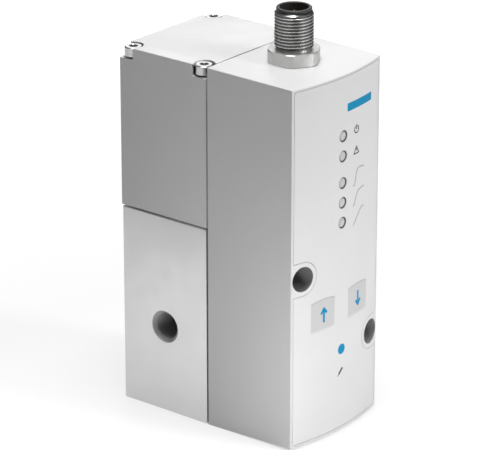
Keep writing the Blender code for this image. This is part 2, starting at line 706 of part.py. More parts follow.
def corner_notch(name, x, y):
    """A cutter open to both outer faces, rounded on its inner corner about the screw."""
    side_x = math.copysign(1, x)
    side_y = math.copysign(1, y - VALVE_Y)
    far = NOTCH_HALF + CAP_SCREW_INSET
    outline = [(u * side_x, v * side_y) for u, v in arc(0, 0, NOTCH_HALF, 180, 270, 8)]
    outline += [(far * side_x, -NOTCH_HALF * side_y), (far * side_x, far * side_y)]
    outline += [(-NOTCH_HALF * side_x, far * side_y)]
    height = NOTCH_DEPTH + PAST
    return prism(name, [outline], height, (x, y, NOTCH_FLOOR + height / 2))


def make_manifold():
    """The block under the cap: pilot chamber, channels, and seats for valves and sensor."""
    half = HALF_WIDTH - CAP_WALL - FIT
    front = BLOCK_FRONT + CAP_WALL + FIT
    rear = CAP_REAR - CAP_WALL - FIT
    manifold = box("pilot_manifold", (-half, front, CAP_BASE), (half, rear, MANIFOLD_TOP), SATIN_ALUMINIUM)
    bead_top = CAP_BASE + BEAD_GROOVE
    chamber = [
        (0, PILOT_CEILING),
        (CHAMBER_R, PILOT_CEILING),
        (CHAMBER_R, bead_top),
        (BEAD_R + FIT, bead_top),
        (BEAD_R + FIT, CAP_BASE - PAST),
        (0, CAP_BASE - PAST),
    ]
    combine(manifold, turned("pilot_chamber", chamber, (0, VALVE_Y, 0)))
    height = MANIFOLD_HEIGHT + 2 * PAST
    for number, (x, y) in enumerate(column_points()):
        hole = cylinder(f"column_clearance_{number}", COLUMN_R + FIT, height, (x, y, CAP_BASE - PAST))
        combine(manifold, hole)
    cross_z = MANIFOLD_TOP - CROSS_CHANNEL_DROP
    for side in (-1, 1):
        start = (side * PILOT_X, PILOT_Y, PILOT_CEILING - PAST)
        rise = MANIFOLD_TOP - PILOT_CEILING + 2 * PAST
        combine(manifold, cylinder(f"nozzle_{side}", NOZZLE_R, rise, start, sides=SMALL_ROUND))
        start = (side * CHANNEL_X, CHANNEL_Y, CAP_BASE - PAST)
        rise = cross_z - CAP_BASE + CHANNEL_R + PAST
        combine(manifold, cylinder(f"manifold_channel_{side}", CHANNEL_R, rise, start, sides=SMALL_ROUND))
        start = (side * CHANNEL_X, PILOT_Y, cross_z)
        rise = CROSS_CHANNEL_DROP + PAST
        combine(manifold, cylinder(f"riser_{side}", NOZZLE_R, rise, start, sides=SMALL_ROUND))
    start = (-CHANNEL_X, CHANNEL_Y, cross_z)
    run = PILOT_Y - CHANNEL_Y
    combine(manifold, cylinder("supply_cross", CHANNEL_R, run, start, TO_REAR, sides=SMALL_ROUND))
    run = rear - PILOT_Y + PAST
    start = (CHANNEL_X, PILOT_Y, cross_z)
    combine(manifold, cylinder("vent_cross", CHANNEL_R, run, start, TO_REAR, sides=SMALL_ROUND))
    start = (CHANNEL_X, CHANNEL_Y, MANIFOLD_TOP - SENSOR_STEM - FIT)
    depth = SENSOR_STEM + FIT + PAST
    combine(manifold, cylinder("sensor_seat", SENSOR_STEM_R + FIT, depth, start, sides=SMALL_ROUND))


def make_pilot_valve(label, side):
    """One solenoid valve: core tube, coil around it, and armature with its spring inside."""
    axis = (side * PILOT_X, PILOT_Y, 0)
    base = MANIFOLD_TOP + FIT
    bore_r = CORE_R - CORE_WALL
    armature_top = base + ARMATURE_LENGTH
    core_face = armature_top + ARMATURE_STROKE + FIT
    core = [
        (0, COIL_TOP + CORE_PROUD),
        (CORE_R, COIL_TOP + CORE_PROUD),
        (CORE_R, base + CORE_FLANGE),
        (CORE_FLANGE_R, base + CORE_FLANGE),
        (CORE_FLANGE_R, base),
        (bore_r, base),
        (bore_r, core_face),
        (0, core_face),
    ]
    turned(f"{label}_core_tube", core, axis, finish=BRASS, steps=SMALL_ROUND)
    coil_base = base + CORE_FLANGE + FIT
    coil = [
        (COIL_R, COIL_TOP),
        (COIL_R, coil_base),
        (CORE_R + FIT, coil_base),
        (CORE_R + FIT, COIL_TOP),
    ]
    turned(f"{label}_coil", coil, axis, finish=BLACK_PLASTIC, steps=SMALL_ROUND, ring=True)
    spring_floor = armature_top - ARMATURE_BORE_DEPTH
    armature = [
        (0, spring_floor),
        (ARMATURE_BORE_R, spring_floor),
        (ARMATURE_BORE_R, armature_top),
        (bore_r - FIT, armature_top),
        (bore_r - FIT, base),
        (0, base),
    ]
    turned(f"{label}_armature", armature, axis, finish=STEEL, steps=SMALL_ROUND)
    low = spring_floor + FIT
    high = core_face - FIT
    coil_spring(f"{label}_armature_spring", ARMATURE_SPRING_R, ARMATURE_SPRING_WIRE, low, high, 3, axis)


def make_sensor():
    base = MANIFOLD_TOP + FIT
    profile = [
        (0, base + SENSOR_HEIGHT),
        (SENSOR_R, base + SENSOR_HEIGHT),
        (SENSOR_R, base),
        (SENSOR_STEM_R, base),
        (SENSOR_STEM_R, MANIFOLD_TOP - SENSOR_STEM),
        (0, MANIFOLD_TOP - SENSOR_STEM),
    ]
    turned("pressure_sensor", profile, (CHANNEL_X, CHANNEL_Y, 0), finish=STEEL, steps=SMALL_ROUND)


def overlay_outline(grow):
    """The keypad film's outline in X and Z, made larger all round by an amount."""
    half = OVERLAY_HALF + grow
    top = HEIGHT - OVERLAY_TOP_MARGIN + grow
    base = OVERLAY_BASE_MARGIN - grow
    notch_r = OVERLAY_NOTCH_R - grow
    (_, high_z), (_, low_z) = MOUNT_HOLES
    left = arc(-MOUNT_HOLE_X, high_z, notch_r, 90, -90, 12)
    right = arc(MOUNT_HOLE_X, low_z, notch_r, 270, 90, 12)
    outline = [(-half, top), (-half, high_z + notch_r), *left, (-half, high_z - notch_r), (-half, base)]
    outline += [(half, base), (half, low_z - notch_r), *right, (half, low_z + notch_r), (half, top)]
    return outline


def overlay_shape(name, grow, shallow, deep, finish=None):
    """A curved sheet of the film's outline, between two depths behind the front."""
    front = front_line(HALF_WIDTH, shallow)
    back = front_line(HALF_WIDTH, deep)
    sheet = prism(name, [front + back[::-1]], HEIGHT, (0, 0, HEIGHT / 2), finish=finish)
    start = FRONT_APEX - PAST
    end = FRONT_EDGE + deep + PAST
    tool = prism(f"{name}_outline", [overlay_outline(grow)], end - start, (0, (start + end) / 2, 0), FACING)
    return combine(sheet, tool, "INTERSECT")


def key_places():
    """Each key's name and its place on the front."""
    return (("up_key", -KEY_X, KEY_Z), ("down_key", KEY_X, KEY_Z), ("edit_key", 0, EDIT_KEY_Z))


def key_cutter(name, x, z, grow, start, end, finish=None):
    """The body of a key, or its hole: square for up and down, round for edit."""
    if x == 0:
        return cylinder(name, EDIT_KEY_R + grow, end - start, (x, start, z), TO_REAR, finish)
    half = KEY_SIZE / 2 + grow
    return box(name, (x - half, start, z - half), (x + half, end, z + half), finish)


def housing_screws():
    """The housing screws' places in X and Z."""
    return [(side * HOUSING_SCREW_X, z) for side in (-1, 1) for z in (HOUSING_SCREW_LOW, HOUSING_SCREW_TOP)]


def make_housing():
    housing = front_block("electronics_housing", HALF_FRONT, 0, RIM, 0, HEIGHT, HALF_WIDTH, PALE_PLASTIC)
    taper(housing)
    round_edges(housing)
    half = HALF_FRONT - HOUSING_WALL
    hollow = front_block("housing_hollow", half, FRONT_WALL, RIM + PAST, HOUSING_WALL, HOUSING_CEILING)
    start = FRONT_APEX
    reach = RIM + 2 * PAST - start
    for number, (x, z) in enumerate(MOUNT_HOLES):
        combine(hollow, cylinder(f"mount_boss_{number}", MOUNT_BOSS_R, reach, (x, start, z), TO_REAR))
    for number, (x, z) in enumerate(housing_screws()):
        combine(hollow, cylinder(f"screw_boss_{number}", HOUSING_BOSS_R, reach, (x, start, z), TO_REAR))
    combine(housing, hollow)
    lip = HALF_WIDTH - GASKET_LIP
    rebate_low = (-lip, RIM - GASKET_STEP, GASKET_LIP)
    combine(housing, box("gasket_rebate", rebate_low, (lip, RIM + PAST, HEIGHT - GASKET_LIP)))
    combine(housing, overlay_shape("overlay_recess", FIT, -PAST, RECESS))
    start = FRONT_APEX - PAST
    for number, (x, z) in enumerate(MOUNT_HOLES):
        floor = front_y(x) + COUNTERBORE_DEPTH
        tool = cylinder(f"counterbore_{number}", COUNTERBORE_R, floor - start, (x, start, z), TO_REAR)
        combine(housing, tool)
    through_mounts(housing, "housing", MOUNT_HOLE_R, start, RIM + PAST)
    for number, (x, z) in enumerate(housing_screws()):
        end = screw_head_base(x) + FIT
        pocket = cylinder(f"head_pocket_{number}", HOUSING_HEAD_R + FIT, end - start, (x, start, z), TO_REAR)
        combine(housing, pocket)
        run = RIM + PAST - start
        hole = cylinder(f"screw_way_{number}", SCREW_R + FIT, run, (x, start, z), TO_REAR, sides=SMALL_ROUND)
        combine(housing, hole)
    end = FRONT_APEX + FRONT_WALL + PAST
    for drop, name in zip(LAMP_DROPS, LAMP_NAMES):
        hole = cylinder(f"{name}_hole", LAMP_HOLE_R, end - start, (0, start, HEIGHT - drop), TO_REAR)
        combine(housing, hole)
    for name, x, z in key_places():
        combine(housing, key_cutter(f"{name}_hole", x, z, FIT, start, BOARD_FRONT))
    roof = HOUSING_CEILING - PAST
    run = HEIGHT + PAST - roof
    combine(housing, cylinder("connector_hole", SHANK_R + FIT, run, (PLUG_X, PLUG_Y, roof)))
    floor = HEIGHT - SEAL_GROOVE_DEPTH
    run = SEAL_GROOVE_DEPTH + PAST
    combine(housing, cylinder("seal_groove", SEAL_GROOVE_R, run, (PLUG_X, PLUG_Y, floor)))


def screw_head_base(x):
    """Where a housing screw's head seats, under the film at x."""
    return front_y(x, RECESS) + FIT + HOUSING_HEAD


def make_gasket():
    """The rubber frame between the housing's rim and the two blocks."""
    outer = HALF_WIDTH - GASKET_LIP - FIT
    low = GASKET_LIP + FIT
    high = HEIGHT - GASKET_LIP - FIT
    outlines = []
    for inset in (0, GASKET_WIDTH):
        right = outer - inset
        outlines.append(
            [(-right, low + inset), (right, low + inset), (right, high - inset), (-right, high - inset)]
        )
    middle = BLOCK_FRONT - FIT - GASKET_THICK / 2
    prism("housing_gasket", outlines, GASKET_THICK, (0, middle, 0), FACING, RUBBER)


def make_overlay():
    film = overlay_shape("keypad_overlay", 0, 0, OVERLAY_THICK, FILM)
    start = FRONT_APEX - PAST
    for drop, name in zip(LAMP_DROPS, LAMP_NAMES):
        place_at = (0, start, HEIGHT - drop)
        combine(film, cylinder(f"{name}_window", LAMP_HOLE_R, 3 * PAST, place_at, TO_REAR))


def make_lamps():
    """One clear light guide for each lamp, flush with the film and flanged behind the wall."""
    flange = FRONT_WALL + FIT
    length = BOARD_FRONT - 2 * FIT - LAMP_CHIP_HALF - FRONT_APEX
    lens_r = LAMP_HOLE_R - FIT
    profile = [
        (0, length),
        (lens_r, length),
        (lens_r, flange + LENS_FLANGE),
        (LENS_FLANGE_R, flange + LENS_FLANGE),
        (LENS_FLANGE_R, flange),
        (lens_r, flange),
        (lens_r, 0),
        (0, 0),
    ]
    for drop, name in zip(LAMP_DROPS, LAMP_NAMES):
        turned(name, profile, (0, FRONT_APEX, HEIGHT - drop), TO_REAR, LENS, SMALL_ROUND)


def make_keys():
    """Each key is a pad behind the film with a stem that reaches into its switch."""
    tip = SWITCH_FRONT + KEY_ENTRY
    for name, x, z in key_places():
        start = FRONT_APEX - PAST
        pad_rear = front_y(KEY_X) + FRONT_WALL
        pad = key_cutter(name, x, z, 0, start, pad_rear, BLACK_PLASTIC)
        front = front_block(f"{name}_front", HALF_FRONT, RECESS, RIM, 0, HEIGHT)
        combine(pad, front, "INTERSECT")
        root = pad_rear - FIT
        stem = cylinder(f"{name}_stem", KEY_STEM_R, tip - root, (x, root, z), TO_REAR, sides=SMALL_ROUND)
        combine(pad, stem, "UNION")
        low = (x - SWITCH_HALF, SWITCH_FRONT, z - SWITCH_HALF)
        high = (x + SWITCH_HALF, BOARD_FRONT - FIT, z + SWITCH_HALF)
        switch = box(name.replace("key", "switch"), low, high, BLACK_PLASTIC)
        start = SWITCH_FRONT - PAST
        well = cylinder(
            f"{name}_well", KEY_STEM_R + FIT, SWITCH_WELL + PAST, (x, start, z), TO_REAR, sides=SMALL_ROUND
        )
        combine(switch, well)


def make_boards():
    """The main board with its soldered chips, and the small board under the connector."""
    low = (-BOARD_HALF, BOARD_FRONT, BOARD_BASE)
    board = box("main_board", low, (BOARD_HALF, BOARD_REAR, BOARD_TOP), BOARD_GREEN)
    start = BOARD_FRONT - PAST
    run = BOARD_THICK + 2 * PAST
    for number, (x, z) in enumerate(MOUNT_HOLES):
        combine(board, cylinder(f"board_notch_{number}", MOUNT_BOSS_R + FIT, run, (x, start, z), TO_REAR))
    for number, (x, z) in enumerate(housing_screws()):
        hole = cylinder(f"board_hole_{number}", HOUSING_BOSS_R + FIT, run, (x, start, z), TO_REAR)
        combine(board, hole)
    inside = BOARD_FRONT + BOARD_THICK / 2
    for drop, name in zip(LAMP_DROPS, LAMP_NAMES):
        z = HEIGHT - drop
        low = (-LAMP_CHIP_HALF, BOARD_FRONT - LAMP_CHIP_HALF, z - LAMP_CHIP_HALF)
        chip = box(f"{name}_chip", low, (LAMP_CHIP_HALF, inside, z + LAMP_CHIP_HALF))
        combine(board, chip, "UNION")
    z = HEIGHT - CHIP_DROP
    low = (-CHIP_HALF, inside, z - CHIP_HALF)
    combine(board, box("processor", low, (CHIP_HALF, BOARD_REAR + CHIP_THICK, z + CHIP_HALF)), "UNION")
    low = (-HEADER_HALF, inside, CABLE_Z - HEADER_HEIGHT / 2)
    high = (HEADER_HALF, BOARD_REAR + HEADER_THICK, CABLE_Z + HEADER_HEIGHT / 2)
    combine(board, box("cable_header", low, high), "UNION")
    low = (PLUG_X - PIN_BOARD_HALF, BOARD_REAR + FIT, PIN_BOARD_TOP - BOARD_THICK)
    high = (PLUG_X + PIN_BOARD_HALF, PLUG_Y + PIN_BOARD_HALF, PIN_BOARD_TOP)
    box("connector_board", low, high, BOARD_GREEN)


def make_cable():
    """The flat cable from the main board through the cap's window to the coils."""
    start = BOARD_REAR + HEADER_THICK + FIT
    end = PILOT_Y - COIL_R + FIT
    shape = bmesh.new()
    rails = []
    for side in (-1, 1):
        rail = []
        for step in range(9):
            share = step / 8
            sag = CABLE_SAG * math.sin(math.pi * share)
            rail.append(shape.verts.new((side * CABLE_HALF, start + (end - start) * share, CABLE_Z - sag)))
        rails.append(rail)
    for step in range(8):
        (a, b), (d, c) = [rail[step:step + 2] for rail in rails]
        shape.faces.new((a, d, c, b))
    cable = place("valve_flat_cable", as_mesh("valve_flat_cable", shape), CABLE_WHITE)
    skin = cable.modifiers.new("thickness", "SOLIDIFY")
    skin.thickness = CABLE_THICK
    skin.offset = 0


def make_connector():
    """The twelve-millimetre plug: shell with hexagon, insert, pins, seal and locknut."""
    axis = (PLUG_X, PLUG_Y, 0)
    shell = [
        (THREAD_R - PLUG_RIM_CHAMFER, THREAD_TOP),
        (THREAD_R, THREAD_TOP - PLUG_RIM_CHAMFER),
        (THREAD_R, HEX_TOP - FIT),
        (THREAD_R, HEIGHT + FIT),
        (SHANK_R, HEIGHT + FIT),
        (SHANK_R, SHANK_END),
        (INSERT_FOOT_R + FIT, SHANK_END),
        (INSERT_FOOT_R + FIT, HEX_TOP),
        (INSERT_SLEEVE_R + FIT, HEX_TOP),
        (INSERT_SLEEVE_R + FIT, THREAD_TOP),
    ]
    body = turned("connector_shell", shell, axis, finish=NICKEL, ring=True)
    corner_r = HEX_FLATS_R / math.cos(math.pi / 6)
    foot = (PLUG_X, PLUG_Y, HEIGHT)
    hexagon = cylinder("shell_hexagon", corner_r, HEX_HEIGHT, foot, sides=6, spin=HEX_TURN)
    envelope = [
        (0, HEX_HEIGHT + FIT),
        (HEX_CORNER_R - HEX_CHAMFER - FIT, HEX_HEIGHT + FIT),
        (HEX_CORNER_R, HEX_HEIGHT - HEX_CHAMFER),
        (HEX_CORNER_R, -PAST),
        (0, -PAST),
    ]
    turning = turned("hexagon_turning", envelope, foot, steps=FINE_ROUND)
    combine(hexagon, turning, "INTERSECT")
    bore_z = HEIGHT - PAST
    bore = cylinder("hexagon_bore", SHANK_R, HEX_HEIGHT + 2 * PAST, (PLUG_X, PLUG_Y, bore_z))
    combine(hexagon, bore)
    combine(body, hexagon, "UNION")
    sleeve_foot = HEX_TOP + FIT
    insert = [
        (INSERT_LIP_R, THREAD_TOP + FIT + INSERT_LIP),
        (INSERT_LIP_R, THREAD_TOP + FIT),
        (INSERT_SLEEVE_R, THREAD_TOP + FIT),
        (INSERT_SLEEVE_R, sleeve_foot),
        (INSERT_FOOT_R, sleeve_foot),
        (INSERT_FOOT_R, SHANK_END - FIT),
        (0, SHANK_END - FIT),
    ]
    floor = [(0, INSERT_FLOOR), (INSERT_RECESS_R, INSERT_FLOOR)]
    rim = [(INSERT_RECESS_R, THREAD_TOP + FIT + INSERT_LIP)]
    insulator = turned("connector_insert", floor + rim + insert, axis, finish=BLACK_PLASTIC)
    tip = THREAD_TOP + INSERT_LIP - PIN_TIP_DROP
    pin_foot = PIN_BOARD_TOP + FIT
    for number in range(PIN_COUNT):
        angle = math.tau * number / (PIN_COUNT - 1)
        radius = PIN_CIRCLE_R if number else 0
        x = PLUG_X + radius * math.sin(angle)
        y = PLUG_Y + radius * math.cos(angle)
        start = (x, y, SHANK_END - PAST)
        run = INSERT_FLOOR - SHANK_END + 2 * PAST
        combine(insulator, cylinder(f"pin_way_{number}", PIN_R + FIT, run, start, sides=PIN_SIDES))
        name = f"contact_pin_{number + 1}"
        cylinder(name, PIN_R, tip - pin_foot, (x, y, pin_foot), finish=GOLD, sides=PIN_SIDES)
    seal_r = (SHANK_R + SEAL_GROOVE_R) / 2
    hoop("connector_seal", seal_r, SEAL_WIRE_R, HEIGHT - SEAL_GROOVE_DEPTH + FIT + SEAL_WIRE_R, axis)
    nut_base = HOUSING_CEILING - FIT - LOCKNUT_THICK
    corner_r = LOCKNUT_FLATS_R / math.cos(math.pi / 6)
    seat = (PLUG_X, PLUG_Y, nut_base)
    locknut = cylinder("connector_locknut", corner_r, LOCKNUT_THICK, seat, finish=NICKEL, sides=6)
    start = (PLUG_X, PLUG_Y, nut_base - PAST)
    combine(locknut, cylinder("locknut_bore", SHANK_R + FIT, LOCKNUT_THICK + 2 * PAST, start))


def make_screws():
    """Four socket screws through the cap, and four that hold the housing from under the film."""
    length = NOTCH_FLOOR - SCREW_TIP + FIT
    profile = [
        (0, SCREW_HEAD),
        (SCREW_HEAD_R, SCREW_HEAD),
        (SCREW_HEAD_R, 0),
        (SCREW_R, 0),
        (SCREW_R, -length),
        (0, -length),
    ]
    for number, (x, y) in enumerate(column_points()):
        seat = (x, y, NOTCH_FLOOR + FIT)
        screw = turned(f"cap_screw_{number + 1}", profile, seat, finish=STEEL, steps=SMALL_ROUND)
        start = (x, y, seat[2] + SCREW_HEAD - SCREW_KEY_DEPTH)
        socket = cylinder(f"socket_{number}", SCREW_KEY_R, SCREW_KEY_DEPTH + PAST, start, sides=6)
        combine(screw, socket)
    for number, (x, z) in enumerate(housing_screws()):
        seat_y = screw_head_base(x)
        length = BLOCK_FRONT + HOUSING_GRIP - seat_y
        profile = [
            (0, length),
            (SCREW_R, length),
            (SCREW_R, 0),
            (HOUSING_HEAD_R, 0),
            (HOUSING_HEAD_R, -HOUSING_HEAD),
            (0, -HOUSING_HEAD),
        ]
        name = f"housing_screw_{number + 1}"
        turned(name, profile, (x, seat_y, z), TO_REAR, STEEL, SMALL_ROUND)


make_valve_block()
make_closing_plug()
make_poppet()
make_piston()
make_cap()
make_manifold()
make_pilot_valve("supply_pilot", -1)
make_pilot_valve("exhaust_pilot", 1)
make_sensor()
make_housing()
make_gasket()
make_overlay()
make_lamps()
make_keys()
make_boards()
make_cable()
make_connector()
make_screws()
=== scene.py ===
"""Looks of the electro-pneumatic regulator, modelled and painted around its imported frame."""

import json
import math

import bpy
from mathutils import Matrix, Vector


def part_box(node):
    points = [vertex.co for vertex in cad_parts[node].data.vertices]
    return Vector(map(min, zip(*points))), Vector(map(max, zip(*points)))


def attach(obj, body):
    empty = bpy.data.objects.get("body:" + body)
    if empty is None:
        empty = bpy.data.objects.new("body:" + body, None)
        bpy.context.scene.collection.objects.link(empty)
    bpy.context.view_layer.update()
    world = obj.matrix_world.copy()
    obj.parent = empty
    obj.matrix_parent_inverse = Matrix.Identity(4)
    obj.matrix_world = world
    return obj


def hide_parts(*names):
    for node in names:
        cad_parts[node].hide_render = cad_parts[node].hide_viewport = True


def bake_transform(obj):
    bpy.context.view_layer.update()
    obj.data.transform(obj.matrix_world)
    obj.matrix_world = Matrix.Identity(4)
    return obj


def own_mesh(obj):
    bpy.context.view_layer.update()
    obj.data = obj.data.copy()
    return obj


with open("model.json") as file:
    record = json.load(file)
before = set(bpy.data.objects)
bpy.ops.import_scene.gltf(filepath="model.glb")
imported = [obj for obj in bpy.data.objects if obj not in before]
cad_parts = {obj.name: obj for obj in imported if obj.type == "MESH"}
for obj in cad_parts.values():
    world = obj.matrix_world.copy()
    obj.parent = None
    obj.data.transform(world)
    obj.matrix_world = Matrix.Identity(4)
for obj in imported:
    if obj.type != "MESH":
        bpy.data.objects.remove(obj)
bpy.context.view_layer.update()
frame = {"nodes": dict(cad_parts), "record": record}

MM = 0.001

# Places and sizes read from the frame
BLOCK_LOW, BLOCK_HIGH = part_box("valve_block")
CAP_LOW, CAP_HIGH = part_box("pilot_cap")
CASE_LOW, CASE_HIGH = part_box("electronics_housing")
FILM_LOW, FILM_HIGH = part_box("keypad_overlay")
MANIFOLD_LOW, MANIFOLD_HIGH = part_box("pilot_manifold")
BOARD_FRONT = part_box("main_board")[0].y
SHELL_LOW, SHELL_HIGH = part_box("connector_shell")
INSERT_LOW, INSERT_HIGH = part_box("connector_insert")
PLUG_LOW, PLUG_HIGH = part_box("closing_plug")
HALF_WIDTH = BLOCK_HIGH.x
HEIGHT = CAP_HIGH.z
VALVE_Y = (BLOCK_LOW.y + BLOCK_HIGH.y) / 2
CONNECTOR_X = (INSERT_LOW.x + INSERT_HIGH.x) / 2
CONNECTOR_Y = (INSERT_LOW.y + INSERT_HIGH.y) / 2

# Electronics housing and its curved front
FRONT_BULGE = 2.8 * MM
DRAFT = 0.58 * MM
FRONT_EDGE = CASE_LOW.y + FRONT_BULGE
RIM = CASE_HIGH.y
HALF_FRONT = HALF_WIDTH - DRAFT
FRONT_RADIUS = (HALF_FRONT**2 + FRONT_BULGE**2) / (2 * FRONT_BULGE)
FRONT_CENTRE = CASE_LOW.y + FRONT_RADIUS
CASE_WALL = 2.2 * MM
FRONT_WALL = 2.7 * MM
CASE_ROOF = 2.8 * MM
FILM_THICK = 0.4 * MM
FILM_SEAT = 0.52 * MM
FILM_SLIT = 0.17 * MM
FILM_CORNER = 0.8 * MM
NOTCH_R = 5.6 * MM
FIT = 0.3 * MM
PAST = 2 * MM
OVERLAP = 0.5 * MM
WELD = 0.001 * MM
CHAMFER = 0.3 * MM
CORNER = 0.35 * MM
CASE_CORNER = 0.42 * MM
AHEAD = CASE_LOW.y - PAST
BEHIND = FRONT_EDGE + PAST
LIP = 0.9 * MM
GASKET_STEP = 0.6 * MM

# Fastening holes, front to rear
HOLES = ((-17.2 * MM, BLOCK_HIGH.z - 9.4 * MM), (17.2 * MM, 27.7 * MM))
HOLE_R = 3.0 * MM
COUNTERBORE_R = 4.0 * MM
COUNTERBORE_DEPTH = 7.6 * MM
BOSS_R = 5.2 * MM
CASE_SCREWS = [(x * MM, z) for x in (-13.5, 13.5) for z in (7 * MM, HEIGHT - 8 * MM)]
SCREW_BOSS_R = 4.0 * MM
SCREW_WAY_R = 1.8 * MM
CASE_SCREW_DEPTH = 6.3 * MM
CASE_HEAD_R = 3.05 * MM
CASE_HEAD_COVER = 0.7 * MM
CASE_HEAD_DEPTH = 2.4 * MM

# Lamps and keys
LAMP_R = 1.9 * MM
LENS_R = 1.45 * MM
GUIDE_R = 1.55 * MM
GUIDE_FLANGE_R = 2.5 * MM
GUIDE_FLANGE = (3.0 * MM, 3.8 * MM)
LAMPS = {
    "power_lens": HEIGHT - 20.2 * MM,
    "error_lens": HEIGHT - 26.7 * MM,
    "fast_lens": HEIGHT - 35.3 * MM,
    "medium_lens": HEIGHT - 41.7 * MM,
    "slow_lens": HEIGHT - 48.2 * MM,
}
KEY_Z = 41.5 * MM
EDIT_Z = 27.5 * MM
PAD_X = {"up": -8.7 * MM, "down": 8.6 * MM}
PAD_HALF = 5.15 * MM
PAD_LOW = 36.4 * MM
PAD_SHOULDER = 46.85 * MM
PAD_CROWN = 47.45 * MM
PAD_ARCH_R = (PAD_HALF**2 + (PAD_CROWN - PAD_SHOULDER) ** 2) / (2 * (PAD_CROWN - PAD_SHOULDER))
PAD_DIP = 0.14 * MM
PAD_SLIT = 0.006 * MM
EDIT_R = 3.8 * MM
EDIT_WINDOW_R = 4.1 * MM
KEY_FIT = 0.2 * MM

# Print on the film, with points in millimetres
INK_RISE = 0.03 * MM
INK_BASE = 0.05 * MM
RAMP_WIDTH = 0.4 * MM
RAMPS = {
    "fast_curve": (
        (5.4, 80.1), (6.1, 80.3), (6.6, 81.7), (7.1, 84.2), (7.7, 85.2), (8.8, 85.5), (11.4, 85.1)
    ),
    "medium_curve": (
        (5.5, 73.4), (6.2, 74.1), (6.9, 75.9), (7.6, 77.2), (8.3, 77.9), (9.4, 78.3), (11.5, 78.6)
    ),
    "slow_curve": ((5.7, 67.0), (6.5, 68.0), (7.8, 69.5), (9.2, 71.1), (10.1, 71.8), (11.6, 72.2)),
}
ARROWS = (("up", -8.22 * MM, KEY_Z + 0.2 * MM, 1), ("down", 9.1 * MM, KEY_Z + 0.7 * MM, -1))
ARROW_HALF = 2.3 * MM
ARROW_BARB = 1.65 * MM
ARROW_WING = 1.3 * MM
ARROW_WIDTH = 0.85 * MM
SYMBOL_X = 6.9 * MM
SYMBOL_SPAN = 2 * MM

# Ports
PORT_1_Z = 28.7 * MM
PORT_2_Z = BLOCK_HIGH.z - 9.5 * MM
PIPE_MAJOR_R = 4.864 * MM
PIPE_MINOR_R = 4.283 * MM
PIPE_PITCH = 0.907 * MM
PORT_DEPTH = 8 * MM
PASSAGE_R = 3.6 * MM
PORT_FLARE = 0.45 * MM

# Valve block and closing plug
LEDGE_R = 14.7 * MM
LEDGE_DEPTH = 0.6 * MM
WELL_R = 12 * MM
WELL_DEPTH = 3.7 * MM
OUTLET_R = 8 * MM
INLET_R = 9 * MM
SEAT_R = 4.5 * MM
SEAT_DROP = 6 * MM
SEAT_WEB = 4 * MM
SEAT_LIP = 1 * MM
SEAT_LIP_R = 5.6 * MM
PLUG_BORE_R = 10.5 * MM
PLUG_CHAMFER = 0.4 * MM
PLUG_R = 10.2 * MM
RING_GROOVE_R = 8.9 * MM
RING_GROOVE = (14.7 * MM, 16.3 * MM)
EXHAUST_DEPTH = 8.5 * MM
EXHAUST_R = 3.5 * MM
EXHAUST_CORE_R = 3.0 * MM
SPANNER_REACH = 7.75 * MM
SPANNER_R = 0.9 * MM
SPANNER_DEPTH = 3 * MM

# Cap
CAP_SCREW_INSET = 3.0 * MM
POCKET_R = 3.1 * MM
POCKET_DEPTH = 3.75 * MM
POCKET_MOUTH = 2.3 * MM
COLUMN_R = 4.0 * MM
CAP_TAP_DEPTH = 4.8 * MM
CAP_LEDGE = 0.8 * MM
CAP_ROOF = 3 * MM
CAP_BOSS_DEPTH = 8.2 * MM
CABLE_HALF = 7 * MM
CABLE_WINDOW = (97 * MM, 103 * MM)
HEAD_R = 2.75 * MM
HEAD_HEIGHT = 3.0 * MM
SOCKET_FLATS_R = 1.25 * MM
SOCKET_DEPTH = 1.5 * MM
SOCKET_EDGE = 0.25 * MM
M3_R = 1.5 * MM

# Diaphragm
BEAD_WIDTH = 1.8 * MM
DIAPHRAGM_THICK = 0.6 * MM
HUB_HOLE_R = 1.8 * MM
WEB_STEPS = 8
SECTORS = 8

# Connector
HEX_HEIGHT = 3.8 * MM
HEX_FLATS_R = 7.65 * MM
HEX_CORNER_R = 8.25 * MM
M12_R = 6.0 * MM
M12_ROOT_R = 5.4 * MM
M12_PITCH = 1.0 * MM
SHANK_R = 5.4 * MM
CROWN_BORE_R = 5.15 * MM
FOOT_BORE_R = 4.5 * MM
SEAL_R = 6.9 * MM
SEAL_DEPTH = 1.4 * MM
PIN_WAY_R = 0.62 * MM
PIN_R = 0.5 * MM

SCREW_SPOTS = [
    (side * (HALF_WIDTH - CAP_SCREW_INSET), y)
    for side in (-1, 1)
    for y in (CAP_LOW.y + CAP_SCREW_INSET, CAP_HIGH.y - CAP_SCREW_INSET)
]


# Modelling

UP = Matrix.Identity(4)
REARWARD = Matrix.Rotation(-math.pi / 2, 4, "X")
LEFTWARD = Matrix.Rotation(-math.pi / 2, 4, "Y")
RIGHTWARD = Matrix.Rotation(math.pi / 2, 4, "Y")


def activate(item):
    """Select only this piece and make it active."""
    bpy.ops.object.select_all(action="DESELECT")
    item.select_set(True)
    bpy.context.view_layer.objects.active = item


def settle(name):
    """Name the new piece and put its place into its mesh."""
    item = bpy.context.object
    item.name = name
    item.data.name = name
    bpy.ops.object.transform_apply(location=True, rotation=True, scale=True)
    return item


def brick(name, low, high):
    """A block between two corners."""
    middle = [(a + b) / 2 for a, b in zip(low, high)]
    size = [b - a for a, b in zip(low, high)]
    bpy.ops.mesh.primitive_cube_add(size=1, location=middle, scale=size)
    return settle(name)


def rod(name, radius, start, length, turn=UP, sides=96):
    """A cylinder from a point along its turned Z axis."""
    middle = Vector(start) + turn @ Vector((0, 0, length / 2))
    bpy.ops.mesh.primitive_cylinder_add(
        vertices=sides, radius=radius, depth=length, location=middle, rotation=turn.to_euler()
    )
    return settle(name)


